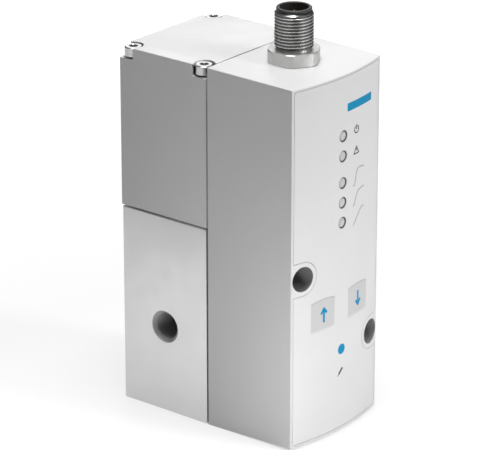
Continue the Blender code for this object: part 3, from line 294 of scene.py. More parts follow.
def edit_all():
    """Open the active mesh with all of it selected."""
    bpy.ops.object.mode_set(mode="EDIT")
    bpy.ops.mesh.select_all(action="SELECT")


def close_mesh():
    bpy.ops.object.mode_set(mode="OBJECT")


def face_outward():
    """Turn the open mesh's faces outward and close it."""
    bpy.ops.mesh.select_all(action="SELECT")
    bpy.ops.mesh.normals_make_consistent(inside=False)
    close_mesh()


def draw_line(name, points, closed=False):
    """A chain of edges in the XZ plane, drawn by extruding one corner of a plane."""
    bpy.ops.mesh.primitive_plane_add(size=MM)
    item = settle(name)
    bpy.ops.object.mode_set(mode="EDIT")
    bpy.ops.mesh.select_mode(type="VERT")
    bpy.ops.mesh.select_all(action="SELECT")
    bpy.ops.mesh.merge(type="CENTER")
    here = Vector((0, 0, 0))
    for number, (u, v) in enumerate(points):
        step = Vector((u, 0, v)) - here
        here = Vector((u, 0, v))
        if number == 0:
            bpy.ops.transform.translate(value=step)
        else:
            bpy.ops.mesh.extrude_vertices_move(TRANSFORM_OT_translate={"value": step})
    if closed:
        close_mesh()
        for number in (0, len(points) - 1):
            item.data.vertices[number].select = True
        bpy.ops.object.mode_set(mode="EDIT")
        bpy.ops.mesh.select_mode(type="VERT")
        bpy.ops.mesh.edge_face_add()
    close_mesh()
    return item


def lathe(name, profile, at, turn=UP, steps=96, closed=False):
    """Spin a profile of (radius, height) points about its axis."""
    item = draw_line(name, profile, closed)
    edit_all()
    bpy.ops.mesh.spin(steps=steps, angle=math.tau, center=(0, 0, 0), axis=(0, 0, 1))
    bpy.ops.mesh.select_all(action="SELECT")
    bpy.ops.mesh.remove_doubles(threshold=WELD)
    face_outward()
    item.data.transform(Matrix.Translation(at) @ turn)
    return item


def bisect(item, point, normal):
    """Slice off what lies beyond a plane and close the cut."""
    activate(item)
    edit_all()
    cut = {"plane_co": point, "plane_no": normal, "threshold": WELD / 10}
    bpy.ops.mesh.bisect(**cut, use_fill=True, clear_outer=True)
    close_mesh()
    return item


def apply_all(item):
    activate(item)
    for modifier in list(item.modifiers):
        bpy.ops.object.modifier_apply(modifier=modifier.name)
    return item


def combine(item, tool, operation="DIFFERENCE"):
    """Cut, join or intersect a piece with another, which is used up."""
    step = item.modifiers.new("combine", "BOOLEAN")
    step.operation = operation
    step.object = tool
    apply_all(item)
    bpy.data.objects.remove(tool, do_unlink=True)
    return item


def bore(item, radius, start, length, sides=96):
    """Cut a round upright hole from a point."""
    return combine(item, rod("bore", radius, start, length, sides=sides))


def drill(item, radius, x, z, start, stop, sides=96):
    """Cut a round hole from front to rear between two places."""
    return combine(item, rod("drill", radius, (x, start, z), stop - start, REARWARD, sides))


def soften(item, width=CORNER, segments=3, angle=30):
    """Round the edges that are sharper than an angle."""
    bevel = item.modifiers.new("soften", "BEVEL")
    bevel.width = width
    bevel.segments = segments
    bevel.limit_method = "ANGLE"
    bevel.angle_limit = math.radians(angle)
    return apply_all(item)


def smooth(item, angle=32):
    activate(item)
    bpy.ops.object.shade_smooth_by_angle(angle=math.radians(angle))
    return item


def thread(name, crest_r, root_r, pitch, length, at, turn=UP, steps=72):
    """A screw thread with flat ends, from a point along its turned Z axis."""
    flat = pitch / 8
    slope = (pitch - 2 * flat) / 2
    profile = []
    height = -2 * pitch
    while height < length + pitch:
        profile += [(root_r, height), (root_r, height + flat)]
        profile += [(crest_r, height + flat + slope), (crest_r, height + 2 * flat + slope)]
        height += pitch
    item = draw_line(name, profile[::-1])
    turning = item.modifiers.new("turning", "SCREW")
    turning.steps = steps
    turning.render_steps = steps
    turning.screw_offset = pitch
    apply_all(item)
    edit_all()
    bpy.ops.mesh.remove_doubles(threshold=2 * WELD)
    close_mesh()
    for end, normal in ((0, (0, 0, -1)), (length, (0, 0, 1))):
        bisect(item, (0, 0, end), normal)
    edit_all()
    face_outward()
    item.data.transform(Matrix.Translation(at) @ turn)
    return item


def front_y(x, depth=0.0):
    """The curved front's place at x, or that of a parallel surface behind it."""
    return FRONT_CENTRE - math.sqrt((FRONT_RADIUS - depth) ** 2 - x * x)


def front_slice(name, depth, left, right, rear, low, high, sides=960):
    """A block with the curved front, cut from a tall drum."""
    item = rod(name, FRONT_RADIUS - depth, (0, FRONT_CENTRE, low), high - low, sides=sides)
    bisect(item, (0, rear, 0), (0, 1, 0))
    bisect(item, (left, 0, 0), (-1, 0, 0))
    return bisect(item, (right, 0, 0), (1, 0, 0))


def front_sheet(name, shallow, deep, low, high):
    """A curved sheet between two depths behind the front, over a span of X and Z."""
    rear = front_y(max(abs(low[0]), abs(high[0])), deep) + PAST
    sheet = front_slice(name, shallow, low[0], high[0], rear, low[1], high[1])
    span = (low[0] - PAST, high[0] + PAST)
    core = front_slice("core", deep, *span, rear + PAST, low[1] - PAST, high[1] + PAST)
    return combine(sheet, core)


def dress(item, finish, body="casing", replaces=(), angle=32):
    """Smooth and paint a piece, attach it to a body and hide the frame's parts it stands for."""
    smooth(item, angle)
    paints[finish].on(item)
    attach(item, body)
    if replaces:
        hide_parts(*replaces)


# Materials

PALE_COLOUR = (0.77, 0.77, 0.772)
PAD_COLOUR = (0.61, 0.61, 0.612)


class Reading:
    """A value in a node tree. Arithmetic on it adds Math nodes."""

    def __init__(self, graph, socket):
        self.graph = graph
        self.socket = socket

    def math(self, operation, *others):
        inputs = dict(enumerate((self, *others)))
        return self.graph.node("ShaderNodeMath", {"operation": operation}, inputs)

    def __add__(self, other):
        return self.math("ADD", other)

    def __sub__(self, other):
        return self.math("SUBTRACT", other)

    def __rsub__(self, other):
        return self * -1.0 + other

    def __mul__(self, other):
        return self.math("MULTIPLY", other)

    def __truediv__(self, other):
        return self.math("DIVIDE", other)

    def __abs__(self):
        return self.math("ABSOLUTE")


class Graph:
    """A node tree that ends in a shader or a background."""

    def __init__(self, tree, shader):
        self.tree = tree
        self.shader = tree.nodes[shader]

    def feed(self, socket, value):
        """Link a reading to a socket, or set the socket's value."""
        if isinstance(value, Reading):
            self.tree.links.new(value.socket, socket)
        else:
            socket.default_value = value

    def node(self, kind, settings=None, inputs=None, output=0):
        made = self.tree.nodes.new(kind)
        for key, value in (settings or {}).items():
            setattr(made, key, value)
        for key, value in (inputs or {}).items():
            self.feed(made.inputs[key], value)
        return Reading(self, made.outputs[output])

    def set(self, socket, value):
        self.feed(self.shader.inputs[socket], value)
        return self


class Paint(Graph):
    """A node material built from expressions."""

    def __init__(self, name, colour, roughness, metallic=0.0, specular=0.5):
        self.name = name
        self.material = bpy.data.materials.new(name)
        self.material.use_nodes = True
        super().__init__(self.material.node_tree, "Principled BSDF")
        self.set("Base Color", (*colour, 1.0))
        self.set("Roughness", roughness)
        self.set("Metallic", metallic)
        self.set("Specular IOR Level", specular)
        self.place = self.node("ShaderNodeTexCoord", output="Object")

    def noise(self, size, detail=2.0, stretch=(1, 1, 1)):
        """Soft random spots of a size in millimetres, from 0 to 1."""
        where = self.node("ShaderNodeMapping", inputs={"Vector": self.place, "Scale": stretch})
        inputs = {"Vector": where, "Scale": 1 / (size * MM), "Detail": detail}
        return self.node("ShaderNodeTexNoise", inputs=inputs)

    def drift(self, size, low, high):
        """A value that wanders over a range, in patches of a size in millimetres."""
        inputs = {"Value": self.noise(size), "From Min": 0.3, "From Max": 0.7}
        inputs |= {"To Min": low, "To Max": high}
        return self.node("ShaderNodeMapRange", inputs=inputs)

    def blend(self, share, first, second):
        """Mix two colours by a share."""
        inputs = {0: share, 6: first, 7: second}
        return self.node("ShaderNodeMix", {"data_type": "RGBA"}, inputs, output=2)

    def axes(self):
        """The three coordinates in metres."""
        inputs = {"Vector": self.place}
        return [self.node("ShaderNodeSeparateXYZ", inputs=inputs, output=i) for i in range(3)]

    def step(self, reading, start, stop):
        """Rise smoothly from 0 to 1 between two values."""
        inputs = {"Value": reading, "From Min": start, "From Max": stop}
        return self.node("ShaderNodeMapRange", {"interpolation_type": "SMOOTHSTEP"}, inputs)

    def bump(self, height, distance):
        """Raise the surface by a height from 0 to 1, times a distance in millimetres."""
        inputs = {"Height": height, "Distance": distance * MM}
        return self.set("Normal", self.node("ShaderNodeBump", inputs=inputs))

    def on(self, item):
        item.data.materials.clear()
        item.data.materials.append(self.material)


def shade(colour, factor):
    """A colour made lighter or darker, as RGBA."""
    return (*(min(1.0, c * factor) for c in colour), 1.0)


def vary(paint, colour, size, amount):
    """Let the base colour drift a little over patches of a size."""
    tones = shade(colour, 1 - amount), shade(colour, 1 + amount)
    return paint.set("Base Color", paint.blend(paint.drift(size, 0.0, 1.0), *tones))


def moulded_plastic(name, colour, roughness=0.42, grain=0.35, depth=0.012):
    """Spark-eroded plastic: a fine even grain and a faint drift of tone."""
    paint = Paint(name, colour, roughness)
    vary(paint, colour, 18, 0.012)
    paint.set("Roughness", paint.drift(6, roughness - 0.04, roughness + 0.04))
    return paint.bump(paint.noise(grain, detail=3.0), depth)


def across(first, second):
    """The distance from an axis, given two coordinates across it."""
    return (first * first + second * second).math("SQRT")


def case_plastic(name):
    """Pale plastic with painted shade inside the fastening holes, the screw pockets and the
    upright seam.
    """
    paint = moulded_plastic(name, PALE_COLOUR)
    x, y, z = paint.axes()
    corner_x, corner_y = SCREW_SPOTS[-1]
    # Painted shade on the walls of the screw pockets, from just above their floors.
    axis_gap = across(abs(x) - corner_x, abs(y - VALVE_Y) - (corner_y - VALVE_Y))
    floor = HEIGHT - POCKET_DEPTH
    above = paint.step(z, floor - 0.2 * MM, floor - 0.05 * MM)
    painted_shade = above * paint.step(axis_gap, POCKET_R + 0.25 * MM, POCKET_R + 0.02 * MM)
    # Painted shade along the seam between the housing and the block, on the outer faces.
    outer = paint.step(abs(x), HALF_WIDTH - 0.6 * MM, HALF_WIDTH - 0.4 * MM)
    painted_shade = painted_shade + outer * paint.step(abs(y - RIM), 0.32 * MM, 0.12 * MM)
    # Painted shade inside the fastening holes' counterbores, a little less in the second hole.
    for (hole_x, hole_z), share in zip(HOLES, (1.0, 0.8)):
        bore_gap = across(x - hole_x, z - hole_z)
        inside = paint.step(bore_gap, COUNTERBORE_R + 0.12 * MM, COUNTERBORE_R)
        painted_shade = painted_shade + inside * share
    # A lit and a shaded copy of the pale colour; the masks above choose where the painted shade
    # goes.
    tones = shade(PALE_COLOUR, 1), shade(PALE_COLOUR, 0.38)
    return paint.set("Base Color", paint.blend(painted_shade, *tones))


def satin_aluminium(name, colour):
    """Anodised metal: a blasted grain over very faint cutter lines, with painted shade inside the
    ports.
    """
    paint = Paint(name, colour, 0.36, metallic=1.0)
    x, y, z = paint.axes()
    on_right = x.math("GREATER_THAN", 0.0)
    port_z = on_right * (PORT_2_Z - PORT_1_Z) + PORT_1_Z
    axis_gap = across(y - VALVE_Y, z - port_z)
    # Painted shade: inside the ports the colour falls to two thirds of its random drift.
    lit = paint.step(axis_gap, PIPE_MAJOR_R + 0.3 * MM, PIPE_MAJOR_R + 0.5 * MM)
    tone_and_painted_shade = paint.drift(14, 0.98, 1.02) * (lit * 0.34 + 0.66)
    paint.set("Base Color", paint.blend(tone_and_painted_shade, (0, 0, 0, 1), shade(colour, 1)))
    grain = paint.noise(0.16, detail=3.0)
    lines = paint.noise(0.22, stretch=(1, 1, 0.03))
    face = paint.drift(4, 0.33, 0.41)
    paint.set("Roughness", face + (1 - lit) * 0.3)
    return paint.bump(grain + lines * 0.5, 0.006)


def plated(name, colour, roughness=0.22):
    """Turned metal with a bright plating."""
    paint = Paint(name, colour, roughness, metallic=1.0)
    vary(paint, colour, 3, 0.05)
    rings = paint.noise(0.12, stretch=(0.05, 0.05, 1))
    paint.set("Roughness", paint.drift(1.5, roughness - 0.05, roughness + 0.08))
    return paint.bump(rings, 0.004)


def threaded_nickel(name, colour):
    """Nickel plate: a satin hexagon, and a thread with painted shade in its grooves and full
    colour on its crests.
    """
    paint = plated(name, colour)
    x, y, z = paint.axes()
    # Painted shade in the thread's grooves: below the crests the colour falls to about a third;
    # the hexagon keeps the full colour.
    axis_gap = across(x - CONNECTOR_X, y - CONNECTOR_Y)
    crest = paint.step(axis_gap, M12_R - 0.48 * MM, M12_R - 0.12 * MM)
    hexagon = paint.step(z, HEIGHT + HEX_HEIGHT + 0.6 * MM, HEIGHT + HEX_HEIGHT + 0.2 * MM)
    lit = crest.math("MAXIMUM", hexagon)
    paint.set("Roughness", paint.drift(1.5, 0.18, 0.28) + hexagon * 0.2)
    return paint.set("Base Color", paint.blend(lit, shade(colour, 0.36), shade(colour, 1.05)))


def key_film(name):
    """Film over a key: a grey print that fades out at the foot, with painted shade under its arch.
    """
    paint = moulded_plastic(name, PAD_COLOUR, 0.36, 0.25, 0.004)
    x, _, z = paint.axes()
    inked = paint.step(z, PAD_LOW, PAD_LOW + 1.5 * MM)
    colour = paint.blend(inked, shade(PALE_COLOUR, 1), shade(PAD_COLOUR, 1))
    # Painted shade along the inside of the arch, where the key area dips below the film.
    reach = across(abs(x) - PAD_X["down"], z - (PAD_CROWN - PAD_ARCH_R))
    edge = paint.step(reach, PAD_ARCH_R - 0.9 * MM, PAD_ARCH_R - 0.15 * MM)
    return paint.set("Base Color", paint.blend(edge, colour, shade(PAD_COLOUR, 0.82)))


def rubber(name):
    paint = Paint(name, (0.02, 0.02, 0.021), 0.7)
    paint.set("Roughness", paint.drift(1, 0.6, 0.8))
    return paint.bump(paint.noise(0.2), 0.01)


def circuit_board(name):
    """Green lacquer over copper tracks."""
    paint = Paint(name, (0.03, 0.16, 0.07), 0.35)
    inputs = {"Vector": paint.place, "Scale": 1 / (2.2 * MM)}
    tracks = paint.node("ShaderNodeTexVoronoi", {"feature": "DISTANCE_TO_EDGE"}, inputs)
    edge = tracks.math("LESS_THAN", 0.08)
    paint.set("Base Color", paint.blend(edge, (0.02, 0.12, 0.05, 1), (0.06, 0.26, 0.11, 1)))
    return paint.bump(edge, 0.03)


def ink(name, colour):
    """Screen-printed ink with a faint mottle."""
    paint = Paint(name, colour, 0.4, specular=0.1)
    vary(paint, colour, 0.8, 0.02)
    return paint.bump(paint.noise(0.15), 0.002)


paints = (
    case_plastic("pale_plastic"),
    moulded_plastic("printed_film", PALE_COLOUR, 0.38, 0.25, 0.004),
    key_film("key_film"),
    satin_aluminium("satin_aluminium", (0.70, 0.70, 0.702)),
    threaded_nickel("nickel_plate", (0.60, 0.597, 0.59)),
    plated("steel", (0.60, 0.602, 0.61), 0.24),
    plated("brass", (0.72, 0.55, 0.26), 0.28),
    plated("gold_plate", (0.90, 0.68, 0.28), 0.18),
    # Near-black plastic for the rings of painted shade round the lamps.
    moulded_plastic("lamp_gap_shade", (0.085, 0.085, 0.087), 0.5, 0.3, 0.004),
    moulded_plastic("black_plastic", (0.03, 0.03, 0.032), 0.45, 0.3, 0.01),
    rubber("rubber"),
    circuit_board("circuit_board"),
    moulded_plastic("flat_cable", (0.60, 0.60, 0.58), 0.5, 0.5, 0.01),
    moulded_plastic("clear_lens", (0.60, 0.60, 0.602), 0.22, 0.6, 0.004),
    ink("blue_ink", (0.002, 0.28, 0.52)),
    ink("grey_ink", (0.42, 0.425, 0.43)),
    ink("dark_ink", (0.06, 0.06, 0.065)),
)
paints = {paint.name: paint for paint in paints}


# Valve block


def cut_port(item, mouth, turn, depth):
    """Cut a tapped port with a chamfered mouth into a face."""
    length = depth + PAST
    cutter = thread("tap", PIPE_MAJOR_R, PIPE_MINOR_R, PIPE_PITCH, length, mouth, turn)
    cutter.data.transform(Matrix.Translation(turn @ Vector((0, 0, -depth))))
    combine(item, cutter)
    outer = PIPE_MAJOR_R + 2 * PORT_FLARE
    inner = PIPE_MAJOR_R - PORT_FLARE
    floor = -2 * PORT_FLARE
    funnel = [(0, PORT_FLARE), (outer, PORT_FLARE), (inner, floor), (0, floor)]
    combine(item, lathe("mouth", funnel, mouth, turn))


def make_valve_block():
    block = soften(brick("valve_block_body", BLOCK_LOW, BLOCK_HIGH))
    top = BLOCK_HIGH.z
    seat = PORT_2_Z - SEAT_DROP
    web = seat - SEAT_WEB
    profile = [
        (0, top + PAST),
        (LEDGE_R, top + PAST), (LEDGE_R, top - LEDGE_DEPTH),
        (WELL_R, top - LEDGE_DEPTH), (WELL_R, top - WELL_DEPTH),
        (OUTLET_R, top - WELL_DEPTH), (OUTLET_R, seat),
        (SEAT_R, seat), (SEAT_R, web - SEAT_LIP),
        (SEAT_LIP_R, web - SEAT_LIP), (SEAT_LIP_R, web),
        (INLET_R, web), (INLET_R, PLUG_HIGH.z + FIT),
        (PLUG_BORE_R, PLUG_HIGH.z + FIT), (PLUG_BORE_R, PLUG_CHAMFER),
        (PLUG_BORE_R + PLUG_CHAMFER, 0), (PLUG_BORE_R + PLUG_CHAMFER, -PAST),
        (0, -PAST),
    ]
    combine(block, lathe("main_bore", profile, (0, VALVE_Y, 0)))
    ports = ((-1, PORT_1_Z, INLET_R, LEFTWARD), (1, PORT_2_Z, OUTLET_R, RIGHTWARD))
    for side, z, chamber_r, turn in ports:
        mouth = Vector((side * HALF_WIDTH, VALVE_Y, z))
        depth = HALF_WIDTH - chamber_r + OVERLAP
        start = mouth - turn @ Vector((0, 0, depth))
        combine(block, rod("passage", PASSAGE_R, start, depth, turn))
        cut_port(block, mouth, turn, PORT_DEPTH)
    front = BLOCK_LOW.y
    for x, z in HOLES:
        drill(block, HOLE_R, x, z, front - PAST, BLOCK_HIGH.y + PAST)
    for x, z in CASE_SCREWS:
        if z < top:
            drill(block, SCREW_WAY_R, x, z, front - PAST, front + CASE_SCREW_DEPTH, 32)
    for x, y in SCREW_SPOTS:
        start = (x, y, top - CAP_TAP_DEPTH)
        bore(block, SCREW_WAY_R, start, CAP_TAP_DEPTH + PAST, 32)
    dress(block, "satin_aluminium", replaces=["valve_block"])


def make_closing_plug():
    base, top = PLUG_LOW.z, PLUG_HIGH.z
    groove_low, groove_high = RING_GROOVE
    profile = [
        (PLUG_R - CHAMFER, top),
        (PLUG_R, top - CHAMFER), (PLUG_R, groove_high),
        (RING_GROOVE_R, groove_high), (RING_GROOVE_R, groove_low),
        (PLUG_R, groove_low), (PLUG_R, base + CHAMFER),
        (PLUG_R - CHAMFER, base),
        (EXHAUST_CORE_R, base), (EXHAUST_CORE_R, base + EXHAUST_DEPTH),
        (EXHAUST_R, base + EXHAUST_DEPTH), (EXHAUST_R, top),
    ]
    plug = lathe("closing_plug_body", profile, (0, VALVE_Y, 0), closed=True)
    down = Matrix.Rotation(math.pi, 4, "X")
    cut_port(plug, Vector((0, VALVE_Y, base)), down, EXHAUST_DEPTH)
    for side in (-1, 1):
        start = (side * SPANNER_REACH, VALVE_Y, base - PAST)
        bore(plug, SPANNER_R, start, SPANNER_DEPTH + PAST, 40)
    dress(plug, "satin_aluminium", replaces=["closing_plug"])


# Cap and its screws


def make_pocket(x, y):
    """The corner pocket of a cap screw, as a cutter open to both outer faces."""
    floor = HEIGHT - POCKET_DEPTH
    pocket = rod("pocket", POCKET_R, (x, y, floor), POCKET_DEPTH + PAST)
    side = math.copysign(1, x)
    back = math.copysign(1, y - VALVE_Y)
    wide = sorted((x - side * POCKET_MOUTH, side * (HALF_WIDTH + PAST)))
    deep = sorted((y - back * POCKET_MOUTH, y + back * (CAP_SCREW_INSET + PAST)))
    mouth = brick("mouth", (wide[0], deep[0], floor), (wide[1], deep[1], HEIGHT + PAST))
    return combine(pocket, mouth, "UNION")


def make_cap():
    cap = brick("pilot_cap_body", CAP_LOW, CAP_HIGH)
    for x, y in SCREW_SPOTS:
        combine(cap, make_pocket(x, y))
    soften(cap)
    half = MANIFOLD_HIGH.x + FIT
    front, rear = MANIFOLD_LOW.y - FIT, MANIFOLD_HIGH.y + FIT
    foot = CAP_LOW.z - PAST
    hollow = brick("hollow", (-half, front, foot), (half, rear, MANIFOLD_HIGH.z + FIT))
    half -= CAP_LEDGE
    attic_low = (-half, front + CAP_LEDGE, MANIFOLD_HIGH.z)
    attic_high = (half, rear - CAP_LEDGE, HEIGHT - CAP_ROOF)
    combine(hollow, brick("attic", attic_low, attic_high), "UNION")
    height = HEIGHT - CAP_LOW.z + 2 * PAST
    for x, y in SCREW_SPOTS:
        bore(hollow, COLUMN_R, (x, y, foot - PAST), height, 48)
    front = CAP_LOW.y
    upper_screws = [(x, z) for x, z in CASE_SCREWS if z > CAP_LOW.z]
    for x, z in upper_screws:
        drill(hollow, SCREW_BOSS_R, x, z, front - PAST, front + CAP_BOSS_DEPTH, 48)
    combine(cap, hollow)
    for x, y in SCREW_SPOTS:
        bore(cap, SCREW_WAY_R, (x, y, foot), height, 40)
    for x, z in upper_screws:
        drill(cap, SCREW_WAY_R, x, z, front - PAST, front + CASE_SCREW_DEPTH, 32)
    low = (-CABLE_HALF, front - PAST, CABLE_WINDOW[0])
    high = (CABLE_HALF, MANIFOLD_LOW.y + PAST, CABLE_WINDOW[1])
    combine(cap, brick("window", low, high))
    dress(cap, "pale_plastic", replaces=["pilot_cap"])


def make_cap_screws():
    """Socket-head screws with a chamfered head and socket."""
    for number, (x, y) in enumerate(SCREW_SPOTS, 1):
        low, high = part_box(f"cap_screw_{number}")
        seat = high.z - HEAD_HEIGHT
        foot = low.z - seat
        profile = [
            (0, HEAD_HEIGHT),
            (HEAD_R - CHAMFER, HEAD_HEIGHT),
            (HEAD_R, HEAD_HEIGHT - CHAMFER), (HEAD_R, 0.1 * MM),
            (HEAD_R - 0.1 * MM, 0),
            (M3_R, 0), (M3_R, foot + CHAMFER),
            (M3_R - CHAMFER, foot),
            (0, foot),
        ]
        screw = lathe(f"cap_screw_{number}_body", profile, (x, y, seat), steps=64)
        corner = SOCKET_FLATS_R / math.cos(math.pi / 6)
        start = (x, y, high.z - SOCKET_DEPTH)
        bore(screw, corner, start, SOCKET_DEPTH + PAST, 6)
        inner = corner - SOCKET_EDGE
        mouth = [(0, PAST), (corner + PAST, PAST), (inner, -SOCKET_EDGE), (0, -SOCKET_EDGE)]
        combine(screw, lathe("mouth", mouth, (x, y, high.z), steps=48))
        dress(screw, "steel", replaces=[f"cap_screw_{number}"])


# Electronics housing, film, lamps and keys


def film_block(name, grow, start, end):
    """The film's outline as a block, made larger all round by an amount."""
    low = (FILM_LOW.x - grow, start, FILM_LOW.z - grow)
    high = (FILM_HIGH.x + grow, end, FILM_HIGH.z + grow)
    outline = brick(name, low, high)
    activate(outline)
    bpy.ops.object.mode_set(mode="EDIT")
    bpy.ops.mesh.select_all(action="DESELECT")
    close_mesh()
    for edge in outline.data.edges:
        first, second = (outline.data.vertices[i].co for i in edge.vertices)
        edge.select = abs(first.y - second.y) > PAST
    bpy.ops.object.mode_set(mode="EDIT")
    bpy.ops.mesh.bevel(offset=FILM_CORNER + grow, segments=8, affect="EDGES")
    close_mesh()
    radius = NOTCH_R - grow
    for x, z in HOLES:
        notch = rod("notch", radius, (x, start - PAST, z), end - start + 2 * PAST, REARWARD)
        sides = (x, math.copysign(HALF_WIDTH + PAST, x))
        slot_low = (min(sides), start - PAST, z - radius)
        slot_high = (max(sides), end + PAST, z + radius)
        combine(notch, brick("slot", slot_low, slot_high), "UNION")
        combine(outline, notch)
    return outline


def on_connector(z):
    """A point on the connector's axis."""
    return (CONNECTOR_X, CONNECTOR_Y, z)


def make_housing():
    half = HALF_WIDTH + PAST
    housing = front_slice("housing_body", 0, -half, half, RIM, -PAST, HEIGHT + PAST, 720)
    slope = DRAFT / (RIM - FRONT_EDGE)
    for sign in (-1, 1):
        bisect(housing, (sign * HALF_WIDTH, RIM, 0), (sign, -slope, 0))
    bisect(housing, (0, RIM, HEIGHT), (0, -slope, 1))
    bisect(housing, (0, RIM, 0), (0, -slope, -1))
    soften(housing, CASE_CORNER)
    inner = HALF_FRONT - CASE_WALL
    roof = HEIGHT - CASE_ROOF
    hollow = front_slice("hollow", FRONT_WALL, -inner, inner, RIM + PAST, CASE_WALL, roof, 240)
    for x, z in HOLES:
        drill(hollow, BOSS_R, x, z, CASE_LOW.y, RIM + 2 * PAST, 64)
    for x, z in CASE_SCREWS:
        drill(hollow, SCREW_BOSS_R, x, z, CASE_LOW.y, RIM + 2 * PAST, 48)
    combine(housing, hollow)
    lip = HALF_WIDTH - LIP
    rebate = brick("rebate", (-lip, RIM - GASKET_STEP, LIP), (lip, RIM + PAST, HEIGHT - LIP))
    combine(housing, rebate)
    recess = front_sheet("recess", -PAST, FILM_SEAT, (-half, -PAST), (half, HEIGHT + PAST))
    combine(recess, film_block("outline", FILM_SLIT, AHEAD, BEHIND + PAST), "INTERSECT")
    combine(housing, recess)
    for x, z in HOLES:
        drill(housing, COUNTERBORE_R, x, z, AHEAD, front_y(x) + COUNTERBORE_DEPTH)
        drill(housing, HOLE_R, x, z, AHEAD, RIM + PAST)
    for x, z in CASE_SCREWS:
        floor = front_y(x, CASE_HEAD_COVER) + CASE_HEAD_DEPTH
        drill(housing, CASE_HEAD_R, x, z, AHEAD, floor, 48)
        drill(housing, SCREW_WAY_R, x, z, AHEAD, RIM + PAST, 32)
    through = AHEAD + FRONT_WALL + 3 * PAST
    for z in LAMPS.values():
        drill(housing, LAMP_R, 0, z, AHEAD, through, 64)
    half = PAD_HALF + KEY_FIT
    for x in PAD_X.values():
        low = (x - half, AHEAD, PAD_LOW - KEY_FIT)
        high = (x + half, BOARD_FRONT, PAD_CROWN + KEY_FIT)
        combine(housing, brick("key_window", low, high))
    drill(housing, EDIT_WINDOW_R, 0, EDIT_Z, AHEAD, through, 64)
    bore(housing, SHANK_R + FIT, on_connector(roof - PAST), CASE_ROOF + 2 * PAST)
    seat = on_connector(HEIGHT - SEAL_DEPTH)
    bore(housing, SEAL_R, seat, SEAL_DEPTH + PAST)
    dress(housing, "pale_plastic", replaces=["electronics_housing"])


def make_film():
    low, high = (FILM_LOW.x - PAST, 0), (FILM_HIGH.x + PAST, HEIGHT)
    film = front_sheet("keypad_film", 0, FILM_THICK, low, high)
    combine(film, film_block("outline", 0, AHEAD, BEHIND), "INTERSECT")
    for z in LAMPS.values():
        drill(film, LAMP_R, 0, z, AHEAD, AHEAD + 3 * PAST, 64)
    for x in PAD_X.values():
        combine(film, pad_outline("key_window", x, 0))
    drill(film, EDIT_R, 0, EDIT_Z, AHEAD, AHEAD + 3 * PAST)
    dress(film, "printed_film", replaces=["keypad_overlay"])


def make_lenses():
    """Light guides with a domed end, each in a dark ring of painted shade filling the gap round
    the lens.
    """
    flange_front, flange_rear = GUIDE_FLANGE
    for name, z in LAMPS.items():
        low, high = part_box(name)
        depth = high.y - low.y
        profile = [
            (0, depth),
            (GUIDE_R, depth), (GUIDE_R, flange_rear),
            (GUIDE_FLANGE_R, flange_rear), (GUIDE_FLANGE_R, flange_front),
            (LENS_R, flange_front), (LENS_R, 0.32 * MM),
            (LENS_R - 0.15 * MM, 0.18 * MM),
            (0.95 * MM, 0.1 * MM),
            (0.5 * MM, 0.06 * MM),
            (0, 0.05 * MM),
        ]
        lens = lathe(f"{name}_guide", profile, (0, low.y, z), REARWARD, 48)
        dress(lens, "clear_lens", replaces=[name])
        # A near-black ring in the gap between lens and film: painted shade where the gap lies in
        # shadow.
        inner, outer = LENS_R + 0.02 * MM, LAMP_R - 0.02 * MM
        shade_ring_profile = [
            (inner, 1.6 * MM),
            (outer, 1.6 * MM), (outer, 0.12 * MM),
            (outer - 0.06 * MM, 0.06 * MM),
            (inner + 0.08 * MM, 0.16 * MM),
            (inner, 0.3 * MM),
        ]
        ring = lathe(f"{name}_ring", shade_ring_profile, (0, low.y, z), REARWARD, 64, closed=True)
        dress(ring, "lamp_gap_shade")


def pad_outline(name, x, shrink):
    """An arch-topped key area as a block through the front."""
    half = PAD_HALF - shrink
    low, high = (x - half, AHEAD, PAD_LOW + shrink), (x + half, FRONT_EDGE, PAD_CROWN)
    block = brick(name, low, high)
    middle = (x, AHEAD - PAST, PAD_CROWN - PAD_ARCH_R)
    length = FRONT_EDGE - AHEAD + 2 * PAST
    arch = rod("arch", PAD_ARCH_R - shrink, middle, length, REARWARD, 480)
    return soften(combine(block, arch, "INTERSECT"), 0.5 * MM, 4, 40)


def pad_sheet(name, x, shallow, deep):
    """A curved sheet that dips from the foot of a key area to its arch."""
    low = (x - PAD_HALF - PAST, PAD_LOW - PAST)
    high = (x + PAD_HALF + PAST, PAD_CROWN + PAST)
    sheet = front_sheet(name, shallow, deep, low, high)
    foot = Matrix.Translation((0, front_y(x), PAD_LOW))
    tilt = Matrix.Rotation(-PAD_DIP / (PAD_CROWN - PAD_LOW), 4, "X")
    sheet.data.transform(foot @ tilt @ foot.inverted())
    return sheet


def make_pads():
    """The film's areas over the keys, each moving with its key."""
    for name, x in PAD_X.items():
        pad = pad_sheet(f"{name}_pad", x, 0.01 * MM, FILM_THICK - PAD_DIP)
        combine(pad, pad_outline("outline", x, PAD_SLIT), "INTERSECT")
        dress(pad, "key_film", f"{name}_key_body")
    span = 2 * EDIT_R
    pad = front_sheet("edit_pad", 0, FILM_THICK, (-span, EDIT_Z - span), (span, EDIT_Z + span))
    disc = rod("disc", EDIT_R - PAD_SLIT, (0, AHEAD, EDIT_Z), 3 * PAST, REARWARD)
    combine(pad, disc, "INTERSECT")
    dress(pad, "printed_film", "edit_key_body")


def post(radius, x, z, sides=48, past=0):
    """A round bar through the front."""
    length = BEHIND - AHEAD + 2 * past
    return rod("post", radius, (x, AHEAD - past, z), length, REARWARD, sides)


